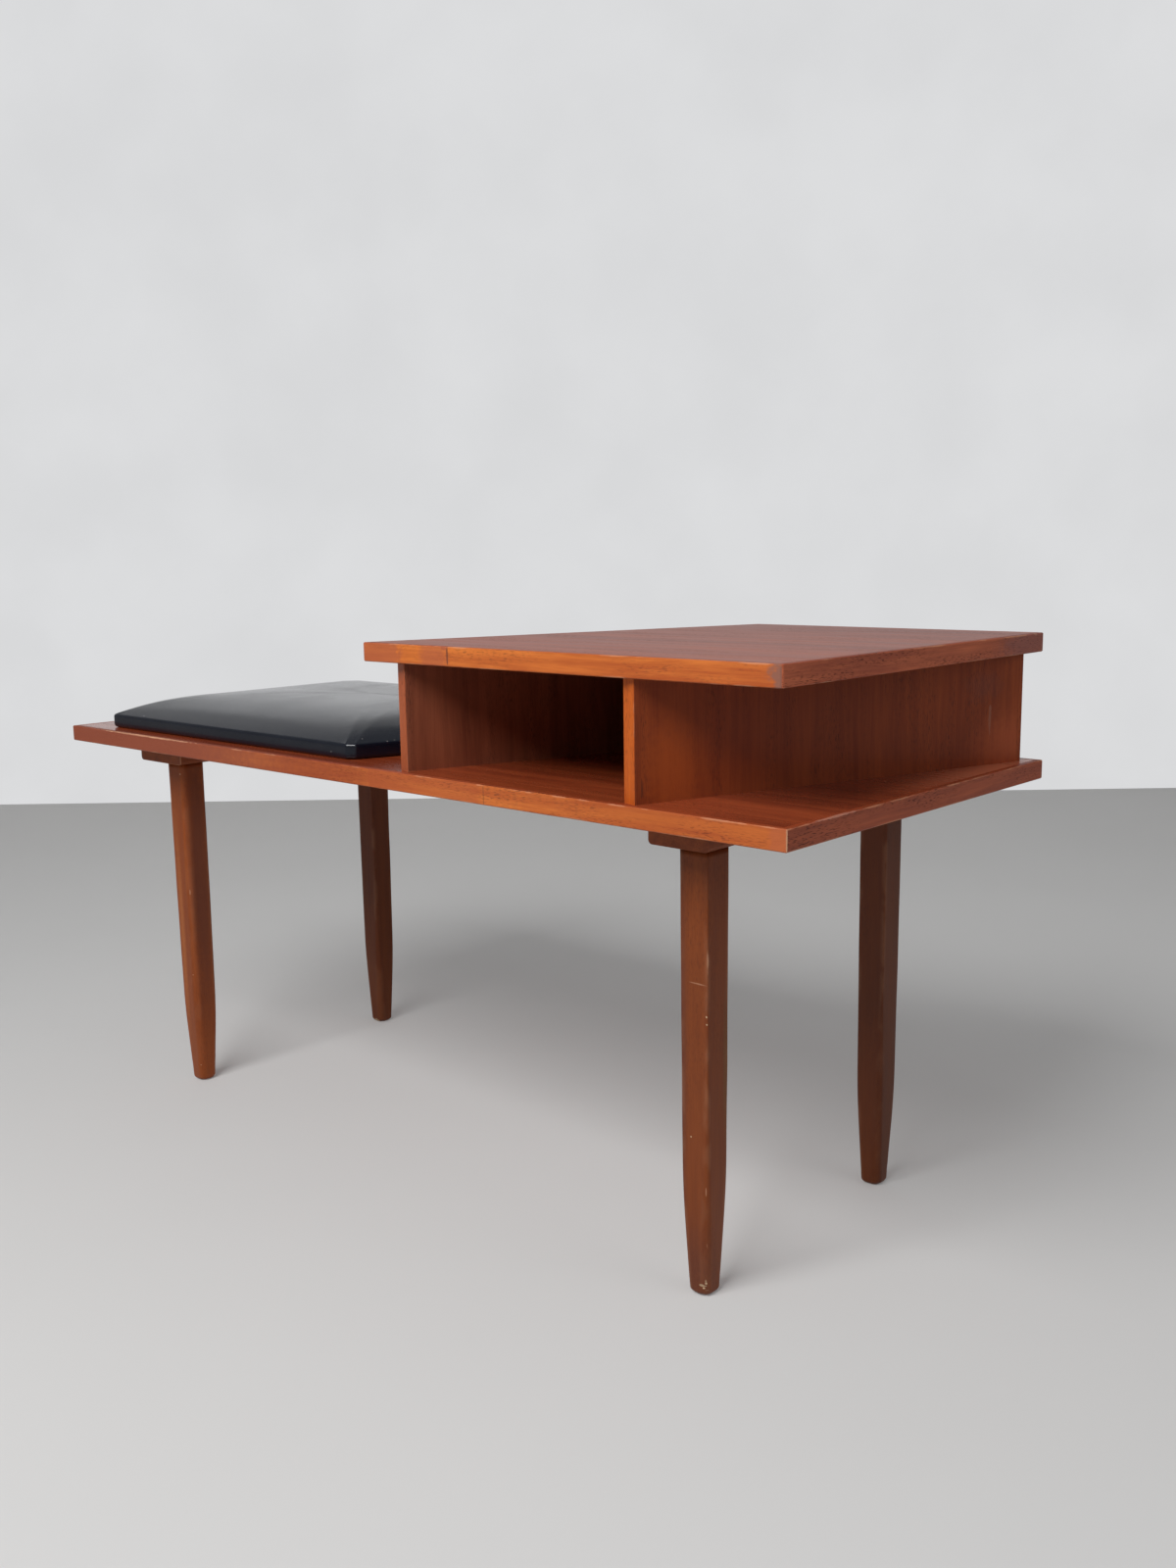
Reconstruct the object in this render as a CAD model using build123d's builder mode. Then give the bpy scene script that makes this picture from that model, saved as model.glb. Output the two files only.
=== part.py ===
"""A telephone bench: a veneered seat board on four tapered legs, with a vinyl seat pad on its left part
and a two-panel compartment with its own top on its right part.

Frame: millimetres, +X along the bench to the right, +Y to its back, +Z up. The origin is on the floor
under the middle of the bench's box. The panels of the compartment stand at a slant in plan.
"""

from build123d import *
from math import cos, exp, radians, sin, tan
import os

os.makedirs("parts", exist_ok=True)

# ---------------------------------------------------------------- driving dimensions

# Boards
bench_length = 1000.0
bench_depth = 410.0
seat_height = 422.0  # top face of the seat board above the floor
board_thickness = 17.0
veneer_thickness = 0.6
lipping_width = 6.0
arris_width = 0.8  # flat planed along the lippings' outer edges
upright_arris_radius = 1.0
seat_corner_radius = 1.4
shelf_corner_radius = 3.0

# Compartment: two upright panels, which run back and to the right at a slant, and a back panel
compartment_height = 98.0
compartment_width = 270.0  # from one upright's foremost corner to the other's
slant_degrees = 18.9
upright_thickness = 16.0
right_upright_inset = 144.4  # its foremost corner, from the seat board's right end
right_upright_setback = 6.4
left_upright_setback = 10.2
upright_back_inset = 19.0
back_panel_thickness = 12.0
back_panel_inset = 6.0  # behind the panel, to the uprights' back ends

# Shelf top, over the compartment
shelf_left_overhang = 24.0  # past the left upright
shelf_end_inset = 5.0
shelf_back_overhang = 4.0

# Loose tongues of plywood, glued into stopped grooves in the panels' ends and in the boards
tongue_thickness = 4.0
tongue_in_board = 9.0
tongue_in_panel = 12.0
tongue_end_gap = 1.0
tongue_stop = 40.0  # from the ends of a panel to its tongue
glue_gap = 0.1

# Legs, measured as widths of the square section
leg_end_inset = 125.0  # leg centre from the seat board's end
leg_side_inset = 69.0
leg_top_width = 28.2
leg_knee_width = 26.6
leg_knee_height = 91.0
leg_foot_width = 18.8
leg_knee_blend = 28.0
foot_radius = 5.0
leg_arris_radius = 1.2  # corners of the upper part
leg_soft_radius = 6.0  # the front left leg's front right corner, and the one across
leg_square_height = 200.0  # above here the corners keep their radii
foot_arris_radius = 3.0  # at the floor, on the front left and back right corners
foot_corner_radius = 8.0  # at the floor, on the other two
tenon_diameter = 16.0
tenon_length = 19.0
tenon_end_gap = 1.0
foot_angles = (0, 45, 90)  # sections of the foot's rounding
knee_section_count = 2
leg_corner_limit = 0.9  # a corner's radius takes at most this share of half the section

# Crossbars under the seat board
crossbar_thickness = 24.0
left_crossbar_width = 83.0
right_crossbar_width = 61.0
crossbar_lip = 2.5  # past the legs, at the right and at both ends
crossbar_edge_radius = 4.0

# Wood screws, countersunk
screw_diameter = 4.0
screw_head_diameter = 8.0
screw_clearance = 0.1
crossbar_screw_length = 35.0
crossbar_screw_count = 2
crossbar_screw_margin = 55.0  # first and last screw, from the crossbar's ends
pad_screw_margin = 115.0  # from the pad's outline, clear of the left crossbar
pad_screw_end_gap = 1.0

# Seat pad
pad_end_margin = 50.0  # from the seat board's left end
pad_side_margin = 22.0  # from its front and back
pad_upright_gap = 80.0
pad_corner_cut = 6.0
pad_side_height = 15.0
pad_crown = 26.0
pad_crown_reach = 52.0  # how far in from the edge the crown takes to rise
pad_crown_runs = (0, 3, 8, 16, 28, 44, 66, 94, 130)  # insets of the crown's sections
pad_corner_growth = 0.1  # how much wider the corners' cuts get, for each millimetre inwards
pad_roll = 3.5  # rounding of the lower edge
roll_angles = (0, 45, 90)  # sections of that rounding
vinyl_thickness = 1.0
pad_board_thickness = 6.0
vinyl_turn_in = 22.0
staple_width = 10.0
staple_wire = 0.7
staple_leg = 5.0
staple_spacing = 130.0
staple_inset = 11.0

# ---------------------------------------------------------------- places worked out from them

slant = radians(slant_degrees)
seat_underside = seat_height - board_thickness
shelf_underside = seat_height + compartment_height
leg_height = seat_underside - crossbar_thickness
box_depth = bench_depth + shelf_back_overhang


def place(x, y):
    """A point given from the seat board's front left corner, in the part's frame."""
    return Vector(x - bench_length / 2, y - box_depth / 2)


def slanted_x(corner_x, setback, y):
    """How far right a slanted face lies at depth y, when its corner is at corner_x and setback."""
    return corner_x + (y - setback) * tan(slant)


def inset_outline(corners, distance):
    """An outline moved inwards: each new corner is where its two shifted sides meet."""
    moved = []
    for index, corner in enumerate(corners):
        arriving = (corner - corners[index - 1]).normalized()
        leaving = (corners[(index + 1) % len(corners)] - corner).normalized()
        inward = arriving.rotate(Axis.Z, 90) + leaving.rotate(Axis.Z, 90)
        share = 1 + arriving.dot(leaving)
        moved.append(corner + inward * (distance / share))
    return moved


def spread(first, last, count):
    """Evenly spaced values from first to last."""
    return [first + (last - first) * step / (count - 1) for step in range(count)]


right_upright_x = bench_length - right_upright_inset
left_upright_x = right_upright_x - compartment_width
face_to_face = upright_thickness / cos(slant)  # an upright's thickness along the bench

seat_outline = [
    place(0, 0),
    place(bench_length, 0),
    place(bench_length, bench_depth),
    place(0, bench_depth),
]
left_upright_far_x = slanted_x(left_upright_x, left_upright_setback, 0) - face_to_face
shelf_left_x = left_upright_far_x - shelf_left_overhang / cos(slant)
shelf_right_x = bench_length - shelf_end_inset
shelf_outline = [
    place(shelf_left_x, 0),
    place(shelf_right_x, 0),
    place(shelf_right_x, box_depth),
    place(slanted_x(shelf_left_x, 0, box_depth), box_depth),
]

pad_right_x = left_upright_x - face_to_face - pad_upright_gap / cos(slant)
pad_back_y = bench_depth - pad_side_margin
pad_outline = [
    place(pad_end_margin, pad_side_margin),
    place(slanted_x(pad_right_x, left_upright_setback, pad_side_margin), pad_side_margin),
    place(slanted_x(pad_right_x, left_upright_setback, pad_back_y), pad_back_y),
    place(pad_end_margin, pad_back_y),
]


def upright_plane(corner_x, setback, height):
    """Local +X runs back along the panel from its foremost corner, and local +Y through it to the left."""
    origin = place(corner_x, setback) + Vector(0, 0, height)
    return Plane(origin=origin, x_dir=(sin(slant), cos(slant), 0), z_dir=(0, 0, 1))


def upright_length(setback):
    """From the foremost corner to the back end."""
    return (bench_depth - upright_back_inset - setback) / cos(slant)


uprights = {
    "left_upright": (left_upright_x, left_upright_setback),
    "right_upright": (right_upright_x, right_upright_setback),
}

panel_back_y = bench_depth - upright_back_inset - back_panel_inset
panel_front_y = panel_back_y - back_panel_thickness
panel_left = [slanted_x(left_upright_x, left_upright_setback, y) for y in (panel_front_y, panel_back_y)]
panel_right = [
    slanted_x(right_upright_x, right_upright_setback, y) - face_to_face
    for y in (panel_front_y, panel_back_y)
]
back_panel_outline = [
    place(panel_left[0], panel_front_y),
    place(panel_right[0], panel_front_y),
    place(panel_right[1], panel_back_y),
    place(panel_left[1], panel_back_y),
]
leg_front_y = leg_side_inset
leg_back_y = bench_depth - leg_side_inset
leg_left_x = leg_end_inset
leg_right_x = bench_length - leg_end_inset
crossbar_front_y = leg_front_y - leg_top_width / 2 - crossbar_lip
crossbar_back_y = leg_back_y + leg_top_width / 2 + crossbar_lip


def crossbar_right_face(leg_x):
    """The crossbar's right face stands just past its two legs."""
    return leg_x + leg_top_width / 2 + crossbar_lip


crossbars = {
    "left_crossbar": (leg_left_x, left_crossbar_width),
    "right_crossbar": (leg_right_x, right_crossbar_width),
}
crossbar_screw_points = {
    name: [
        place(crossbar_right_face(leg_x) - width / 2, y)
        for y in spread(
            crossbar_front_y + crossbar_screw_margin,
            crossbar_back_y - crossbar_screw_margin,
            crossbar_screw_count,
        )
    ]
    for name, (leg_x, width) in crossbars.items()
}
all_crossbar_screws = [point for points in crossbar_screw_points.values() for point in points]
pad_screw_points = inset_outline(pad_outline, pad_screw_margin)
pad_board_underside = seat_height + vinyl_thickness
pad_board_top = pad_board_underside + pad_board_thickness
pad_screw_length = board_thickness + vinyl_thickness + pad_board_thickness - pad_screw_end_gap


def upward(points, height):
    """Drilling places on a face that looks down, at a height."""
    return [Location(Plane(origin=(point.X, point.Y, height), z_dir=(0, 0, -1))) for point in points]


def bore_sketch(points, diameter):
    """Round bores, drawn on the plane of the sketch around."""
    with Locations(*points):
        Circle(diameter / 2 + glue_gap)


def tongue_runs():
    """Each tongue's name, the middle of its length in plan, its length and its direction in degrees."""
    runs = []
    for name, (corner_x, setback) in uprights.items():
        length = upright_length(setback)
        middle = upright_plane(corner_x, setback, 0).from_local_coords(Vector(length, upright_thickness) / 2)
        runs.append((name, middle, length - 2 * tongue_stop, 90 - slant_degrees))
    panel_middle = sum(back_panel_outline, Vector()) / len(back_panel_outline)
    panel_length = (back_panel_outline[1] - back_panel_outline[0]).length
    runs.append(("back_panel", panel_middle, panel_length - 2 * tongue_stop, 0))
    return runs


def cut_grooves(height, depth, names):
    """Stopped grooves for the tongues of the named panels, cut up or down from a height."""
    with BuildSketch(Plane.XY.offset(height)) as grooves:
        for name, middle, length, direction in tongue_runs():
            if name in names:
                with Locations(Location(middle, (0, 0, direction))):
                    Rectangle(length + 2 * tongue_end_gap, tongue_thickness + 2 * glue_gap)
    extrude(grooves.sketch, amount=depth, mode=Mode.SUBTRACT)


panel_names = ("left_upright", "right_upright", "back_panel")
board_groove = tongue_in_board + tongue_end_gap
panel_groove = tongue_in_panel + tongue_end_gap


# ---------------------------------------------------------------- boards: cores, veneers and lippings


def lipping_strip(outline, side, height, corner_radius):
    """One solid edge strip along a side of a board, mitred at both ends and with its outer edges eased.

    The board's corners are rounded in plan, so each strip ends in half of a rounded corner.
    """
    inner = inset_outline(outline, lipping_width)
    following = (side + 1) % len(outline)
    start, end = outline[side], outline[following]
    side_plane = Plane(origin=start, x_dir=end - start, z_dir=(0, 0, 1))
    with BuildPart() as strip:
        with BuildSketch(Plane.XY.offset(height)) as plan:
            with BuildLine():
                Polyline(*outline, close=True)
            make_face()
            fillet(plan.vertices(), corner_radius)
            with BuildLine():
                Polyline(start, end, inner[following], inner[side], close=True)
            make_face(mode=Mode.INTERSECT)
        extrude(amount=board_thickness)
        level_edges = strip.edges().group_by(Axis.Z)
        outer_edges = [
            edge
            for edge in level_edges[0] + level_edges[-1]
            if side_plane.to_local_coords(edge.center()).Y < corner_radius / 2
        ]
        chamfer(outer_edges, arris_width)
    return strip


core_thickness = board_thickness - 2 * veneer_thickness
base_core_bottom = seat_underside + veneer_thickness
base_core_top = seat_height - veneer_thickness
seat_panel = inset_outline(seat_outline, lipping_width)
shelf_panel = inset_outline(shelf_outline, lipping_width)
crossbar_screw_bite = crossbar_screw_length - crossbar_thickness

with BuildPart() as base_core:
    with BuildSketch(Plane.XY.offset(base_core_bottom)):
        with BuildLine():
            Polyline(*seat_panel, close=True)
        make_face()
    extrude(amount=core_thickness)
    cut_grooves(seat_height, -board_groove, panel_names)
    with Locations(*upward(all_crossbar_screws, seat_underside)):
        Hole(screw_diameter / 2 + screw_clearance, depth=crossbar_screw_bite + screw_clearance)
    with Locations(*upward(pad_screw_points, seat_underside)):
        CounterSinkHole(
            screw_diameter / 2 + screw_clearance,
            screw_head_diameter / 2 + screw_clearance,
            depth=board_thickness,
            counter_sink_angle=90,
        )
base_core.part.label = "base_core"
export_step(base_core.part, "parts/base_core.step")

with BuildPart() as base_top_veneer:
    with BuildSketch(Plane.XY.offset(base_core_top)):
        with BuildLine():
            Polyline(*seat_panel, close=True)
        make_face()
    extrude(amount=veneer_thickness)
    with BuildSketch(Plane.XY.offset(base_core_top)):
        bore_sketch(pad_screw_points, screw_diameter)
    extrude(amount=veneer_thickness, mode=Mode.SUBTRACT)
    cut_grooves(seat_height, -board_groove, panel_names)
base_top_veneer.part.label = "base_top_veneer"
export_step(base_top_veneer.part, "parts/base_top_veneer.step")

with BuildPart() as base_bottom_veneer:
    with BuildSketch(Plane.XY.offset(seat_underside)):
        with BuildLine():
            Polyline(*seat_panel, close=True)
        make_face()
    extrude(amount=veneer_thickness)
    with BuildSketch(Plane.XY.offset(seat_underside)):
        bore_sketch(all_crossbar_screws, screw_diameter)
    extrude(amount=veneer_thickness, mode=Mode.SUBTRACT)
    with Locations(*upward(pad_screw_points, seat_underside)):
        CounterSinkHole(
            screw_diameter / 2 + screw_clearance,
            screw_head_diameter / 2 + screw_clearance,
            depth=board_thickness,
            counter_sink_angle=90,
        )
base_bottom_veneer.part.label = "base_bottom_veneer"
export_step(base_bottom_veneer.part, "parts/base_bottom_veneer.step")

with BuildPart() as shelf_core:
    with BuildSketch(Plane.XY.offset(shelf_underside + veneer_thickness)):
        with BuildLine():
            Polyline(*shelf_panel, close=True)
        make_face()
    extrude(amount=core_thickness)
    cut_grooves(shelf_underside, board_groove, panel_names)
shelf_core.part.label = "shelf_core"
export_step(shelf_core.part, "parts/shelf_core.step")

with BuildPart() as shelf_top_veneer:
    with BuildSketch(Plane.XY.offset(shelf_underside + board_thickness - veneer_thickness)):
        with BuildLine():
            Polyline(*shelf_panel, close=True)
        make_face()
    extrude(amount=veneer_thickness)
shelf_top_veneer.part.label = "shelf_top_veneer"
export_step(shelf_top_veneer.part, "parts/shelf_top_veneer.step")

with BuildPart() as shelf_under_veneer:
    with BuildSketch(Plane.XY.offset(shelf_underside)):
        with BuildLine():
            Polyline(*shelf_panel, close=True)
        make_face()
    extrude(amount=veneer_thickness)
    cut_grooves(shelf_underside, board_groove, panel_names)
shelf_under_veneer.part.label = "shelf_under_veneer"
export_step(shelf_under_veneer.part, "parts/shelf_under_veneer.step")

for side, side_name in enumerate(("front", "right", "back", "left")):
    for board, outline, height, corner_radius in (
        ("base", seat_outline, seat_underside, seat_corner_radius),
        ("shelf", shelf_outline, shelf_underside, shelf_corner_radius),
    ):
        name = f"{board}_{side_name}_lipping"
        strip = lipping_strip(outline, side, height, corner_radius)
        strip.part.label = name
        export_step(strip.part, f"parts/{name}.step")

# ---------------------------------------------------------------- compartment

for name, (corner_x, setback) in uprights.items():
    foot_plane = upright_plane(corner_x, setback, seat_height)
    length = upright_length(setback)
    core_length = length - 2 * lipping_width
    core_width = upright_thickness - 2 * veneer_thickness

    with BuildPart() as core:
        with BuildSketch(foot_plane):
            with Locations((lipping_width, veneer_thickness)):
                Rectangle(core_length, core_width, align=(Align.MIN, Align.MIN))
        extrude(amount=compartment_height)
        cut_grooves(seat_height, panel_groove, [name])
        cut_grooves(shelf_underside, -panel_groove, [name])
    core.part.label = f"{name}_core"
    export_step(core.part, f"parts/{name}_core.step")

    for face, across in (("right", 0), ("left", upright_thickness - veneer_thickness)):
        with BuildPart() as veneer:
            with BuildSketch(foot_plane):
                with Locations((lipping_width, across)):
                    Rectangle(core_length, veneer_thickness, align=(Align.MIN, Align.MIN))
            extrude(amount=compartment_height)
        veneer.part.label = f"{name}_{face}_veneer"
        export_step(veneer.part, f"parts/{name}_{face}_veneer.step")

    for end, along in (("front", 0), ("back", length - lipping_width)):
        with BuildPart() as edge_strip:
            with BuildSketch(foot_plane) as section:
                with Locations((along, 0)):
                    Rectangle(lipping_width, upright_thickness, align=(Align.MIN, Align.MIN))
                middle = Vector(length / 2, upright_thickness / 2)
                fillet(section.vertices().sort_by_distance(middle)[2:], upright_arris_radius)
            extrude(amount=compartment_height)
        edge_strip.part.label = f"{name}_{end}_lipping"
        export_step(edge_strip.part, f"parts/{name}_{end}_lipping.step")

with BuildPart() as back_panel:
    with BuildSketch(Plane.XY.offset(seat_height)):
        with BuildLine():
            Polyline(*back_panel_outline, close=True)
        make_face()
    extrude(amount=compartment_height)
    cut_grooves(seat_height, panel_groove, ["back_panel"])
    cut_grooves(shelf_underside, -panel_groove, ["back_panel"])
back_panel.part.label = "back_panel"
export_step(back_panel.part, "parts/back_panel.step")

for name, middle, length, direction in tongue_runs():
    with BuildPart() as tongues:
        for joint_height, below in ((seat_height, tongue_in_board), (shelf_underside, tongue_in_panel)):
            with BuildSketch(Plane.XY.offset(joint_height - below)):
                with Locations(Location(middle, (0, 0, direction))):
                    Rectangle(length, tongue_thickness)
            extrude(amount=tongue_in_board + tongue_in_panel)
    tongues.part.label = f"{name}_tongues"
    export_step(tongues.part, f"parts/{name}_tongues.step")

# ---------------------------------------------------------------- screws


def wood_screw(length):
    """A countersunk wood screw whose head is level with its origin and whose shank points up."""
    head, shank = screw_head_diameter / 2, screw_diameter / 2
    with BuildPart(mode=Mode.PRIVATE) as screw:
        with BuildSketch(Plane.XZ):
            with BuildLine():
                Polyline(
                    (0, 0),
                    (head, 0),
                    (shank, head - shank),
                    (shank, length),
                    (0, length),
                    close=True,
                )
            make_face()
        revolve(axis=Axis.Z)
    return screw.part


crossbar_screw = wood_screw(crossbar_screw_length)
pad_screw = wood_screw(pad_screw_length)

for name, points in crossbar_screw_points.items():
    with BuildPart() as screws:
        with Locations(*[Location((point.X, point.Y, leg_height)) for point in points]):
            add(crossbar_screw)
    screws.part.label = f"{name}_screws"
    export_step(screws.part, f"parts/{name}_screws.step")

with BuildPart() as pad_screws:
    with Locations(*[Location((point.X, point.Y, seat_underside)) for point in pad_screw_points]):
        add(pad_screw)
pad_screws.part.label = "pad_screws"
export_step(pad_screws.part, "parts/pad_screws.step")

# ---------------------------------------------------------------- crossbars and legs

for name, (leg_x, width) in crossbars.items():
    front = place(crossbar_right_face(leg_x) - width / 2, crossbar_front_y)
    with BuildPart() as crossbar:
        with BuildSketch(Plane((front.X, front.Y, leg_height), (1, 0, 0), (0, -1, 0))) as section:
            Rectangle(width, crossbar_thickness, align=(Align.CENTER, Align.MIN))
            fillet(section.vertices().group_by(Axis.Y)[0], crossbar_edge_radius)
        extrude(amount=crossbar_front_y - crossbar_back_y)
        with BuildSketch(Plane.XY.offset(leg_height)):
            bore_sketch([place(leg_x, leg_front_y), place(leg_x, leg_back_y)], tenon_diameter)
        extrude(amount=tenon_length + tenon_end_gap, mode=Mode.SUBTRACT)
        with Locations(*upward(crossbar_screw_points[name], leg_height)):
            CounterSinkHole(
                screw_diameter / 2 + screw_clearance,
                screw_head_diameter / 2 + screw_clearance,
                depth=crossbar_thickness,
                counter_sink_angle=90,
            )
    crossbar.part.label = name
    export_step(crossbar.part, f"parts/{name}.step")


def leg_width(height):
    """Width of the square leg at a height: two straight tapers, joined by a parabola around the knee."""
    lower = (leg_knee_width - leg_foot_width) / leg_knee_height
    upper = (leg_top_width - leg_knee_width) / (leg_height - leg_knee_height)
    above = height - leg_knee_height
    if above < -leg_knee_blend:
        return leg_knee_width + lower * above
    if above > leg_knee_blend:
        return leg_knee_width + upper * above
    sag = (lower - upper) * (above**2 + leg_knee_blend**2) / (4 * leg_knee_blend)
    return leg_knee_width + (lower + upper) / 2 * above - sag


def leg_rings():
    """Height and width of each section of a leg: the rounded foot, the knee, the square part and the top."""
    rings = []
    for angle in foot_angles:
        height = foot_radius * (1 - cos(radians(angle)))
        rings.append((height, leg_width(height) - 2 * foot_radius * (1 - sin(radians(angle)))))
    knee_low, knee_high = leg_knee_height - leg_knee_blend, leg_knee_height + leg_knee_blend
    for height in spread(knee_low, knee_high, knee_section_count):
        rings.append((height, leg_width(height)))
    rings.append((leg_square_height, leg_width(leg_square_height)))
    rings.append((leg_height, leg_top_width))
    return rings


def leg_corner(height, width, upper_radius, lower_radius):
    """Radius of a leg's corner: it grows from the square part down to the foot, and fits the section."""
    share = min(height / leg_square_height, 1)
    radius = lower_radius + (upper_radius - lower_radius) * share
    return min(radius, leg_corner_limit * width / 2)


leg_places = {
    "front_left_leg": (leg_left_x, leg_front_y, leg_soft_radius),
    "back_left_leg": (leg_left_x, leg_back_y, leg_arris_radius),
    "front_right_leg": (leg_right_x, leg_front_y, leg_arris_radius),
    "back_right_leg": (leg_right_x, leg_back_y, leg_arris_radius),
}

for name, (leg_x, leg_y, second_radius) in leg_places.items():
    axis_point = place(leg_x, leg_y)
    pairs = {1: (leg_arris_radius, foot_arris_radius), -1: (second_radius, foot_corner_radius)}
    with BuildPart() as leg:
        for height, width in leg_rings():
            with BuildSketch(Plane(origin=(axis_point.X, axis_point.Y, height))) as section:
                Rectangle(width, width)
                for pair, (upper_radius, lower_radius) in pairs.items():
                    corners = [corner for corner in section.vertices() if corner.X * corner.Y * pair > 0]
                    fillet(corners, leg_corner(height, width, upper_radius, lower_radius))
        loft(ruled=True)
        with BuildSketch(Plane.XY.offset(leg_height)):
            with Locations(axis_point):
                Circle(tenon_diameter / 2)
        extrude(amount=tenon_length)
    leg.part.label = name
    export_step(leg.part, f"parts/{name}.step")

# ---------------------------------------------------------------- seat pad


def pad_rings(skin):
    """Inset and height of each section of the pad, from the bottom up, drawn in by skin all round.

    The lower edge is a quarter round, the side is upright, and the crown rises by an exponential curve:
    steep at the edge and nearly level over the middle.
    """
    rings = []
    for angle in roll_angles:
        run = pad_roll * (1 - sin(radians(angle)))
        rise = pad_roll * (1 - cos(radians(angle)))
        rings.append((run, max(rise, skin)))
    for run in pad_crown_runs:
        rings.append((run, pad_side_height + pad_crown * (1 - exp(-run / pad_crown_reach)) - skin))
    return [(run + skin, height) for run, height in rings]


def faceted_outline(run):
    """The pad's outline inset by run, with a facet across each corner."""
    corners = inset_outline(pad_outline, run)
    cut = pad_corner_cut + pad_corner_growth * run
    points = []
    for index, corner in enumerate(corners):
        arriving = (corner - corners[index - 1]).normalized()
        leaving = (corners[(index + 1) % len(corners)] - corner).normalized()
        points += [corner - arriving * cut, corner + leaving * cut]
    return points


def pad_form(skin):
    """The pad's crowned form, drawn in by skin: flat faces between its sections, sewn to one solid."""
    sections = []
    for run, height in pad_rings(skin):
        level = Vector(0, 0, seat_height + height)
        sections.append([point + level for point in faceted_outline(run)])
    faces = [Face(Wire.make_polygon(section)) for section in (sections[0], sections[-1])]
    for lower, upper in zip(sections, sections[1:]):
        for index in range(len(lower)):
            corners = (lower[index - 1], lower[index], upper[index], upper[index - 1])
            faces.append(Face(Wire.make_polygon(corners)))
    return Solid(Shell(faces))


def staple_places():
    """Evenly spaced places round the pad's underside, +X along the edge and +Z up."""
    route = inset_outline(pad_outline, staple_inset)
    places = []
    for index, start in enumerate(route):
        side = route[(index + 1) % len(route)] - start
        count = round(side.length / staple_spacing)
        half_space = 1 / (2 * count)
        for share in spread(half_space, 1 - half_space, count):
            point = start + side * share
            places.append(Location(Plane((point.X, point.Y, seat_height), side.normalized(), (0, 0, 1))))
    return places


def staple_shape(wire, leg):
    """A staple: its crown at the bottom, with two legs of square wire pointing up."""
    with BuildPart(mode=Mode.PRIVATE) as staple:
        with BuildSketch(Plane.XZ):
            Rectangle(staple_width, wire, align=(Align.CENTER, Align.MIN))
            with Locations((staple_wire / 2 - staple_width / 2, 0), (staple_width / 2 - staple_wire / 2, 0)):
                Rectangle(wire, leg, align=(Align.CENTER, Align.MIN))
        extrude(amount=wire / 2, both=True)
    return staple.part


pad_inside = pad_form(vinyl_thickness)
staple_locations = staple_places()
staple_hole = staple_shape(staple_wire + 2 * screw_clearance, staple_leg + screw_clearance)

with BuildPart() as pad_cover:
    add(pad_form(0))
    add(pad_inside, mode=Mode.SUBTRACT)
    with BuildSketch(Plane.XY.offset(seat_height)):
        with BuildLine():
            Polyline(*inset_outline(pad_outline, vinyl_turn_in), close=True)
        make_face()
    extrude(amount=vinyl_thickness, mode=Mode.SUBTRACT)
    with Locations(*staple_locations):
        add(staple_hole, mode=Mode.SUBTRACT)
pad_cover.part.label = "pad_cover"
export_step(pad_cover.part, "parts/pad_cover.step")

with BuildPart() as pad_board:
    add(pad_inside)
    split(bisect_by=Plane.XY.offset(pad_board_top), keep=Keep.BOTTOM)
    with Locations(*staple_locations):
        add(staple_hole, mode=Mode.SUBTRACT)
    with Locations(*upward(pad_screw_points, pad_board_underside)):
        Hole(screw_diameter / 2 + screw_clearance, depth=pad_board_thickness - pad_screw_end_gap / 2)
pad_board.part.label = "pad_board"
export_step(pad_board.part, "parts/pad_board.step")

with BuildPart() as pad_foam:
    add(pad_inside)
    split(bisect_by=Plane.XY.offset(pad_board_top), keep=Keep.TOP)
pad_foam.part.label = "pad_foam"
export_step(pad_foam.part, "parts/pad_foam.step")

with BuildPart() as pad_staples:
    with Locations(*staple_locations):
        add(staple_shape(staple_wire, staple_leg))
pad_staples.part.label = "pad_staples"
export_step(pad_staples.part, "parts/pad_staples.step")
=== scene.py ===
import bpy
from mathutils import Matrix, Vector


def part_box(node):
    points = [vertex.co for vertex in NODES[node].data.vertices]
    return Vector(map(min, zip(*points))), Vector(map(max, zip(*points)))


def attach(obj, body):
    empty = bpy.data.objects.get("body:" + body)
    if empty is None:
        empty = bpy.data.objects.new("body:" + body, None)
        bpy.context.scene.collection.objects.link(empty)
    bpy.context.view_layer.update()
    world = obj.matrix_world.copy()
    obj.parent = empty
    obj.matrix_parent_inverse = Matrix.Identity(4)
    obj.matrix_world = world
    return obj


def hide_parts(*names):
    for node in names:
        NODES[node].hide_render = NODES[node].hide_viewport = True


bl_info = {
    "name": "Telephone Bench",
    "version": (1, 0, 0),
    "blender": (4, 5, 0),
    "location": "View3D > Sidebar > Telephone Bench",
    "description": "Dresses the packed telephone bench in teak, steel and vinyl, on a plain studio stage",
    "category": "Object",
}

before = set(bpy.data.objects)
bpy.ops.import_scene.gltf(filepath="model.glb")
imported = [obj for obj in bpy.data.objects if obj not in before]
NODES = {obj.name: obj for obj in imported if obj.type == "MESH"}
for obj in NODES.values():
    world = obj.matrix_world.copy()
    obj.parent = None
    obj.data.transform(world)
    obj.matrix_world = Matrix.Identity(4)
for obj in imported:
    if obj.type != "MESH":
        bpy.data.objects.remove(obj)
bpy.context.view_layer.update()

from math import cos, pi, radians, sin, tan

import bpy
import numpy as np
from bpy.props import FloatProperty, FloatVectorProperty, IntProperty, PointerProperty
from mathutils import Matrix, Vector

MM = 0.001
SEAT_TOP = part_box("base_top_veneer")[1].z
LEG_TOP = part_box("left_crossbar")[0].z
SLANT = radians(18.9)  # of the uprights in plan, from the bench's depth


# ---------------------------------------------------------------- sizes and colours a user may change


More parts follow.
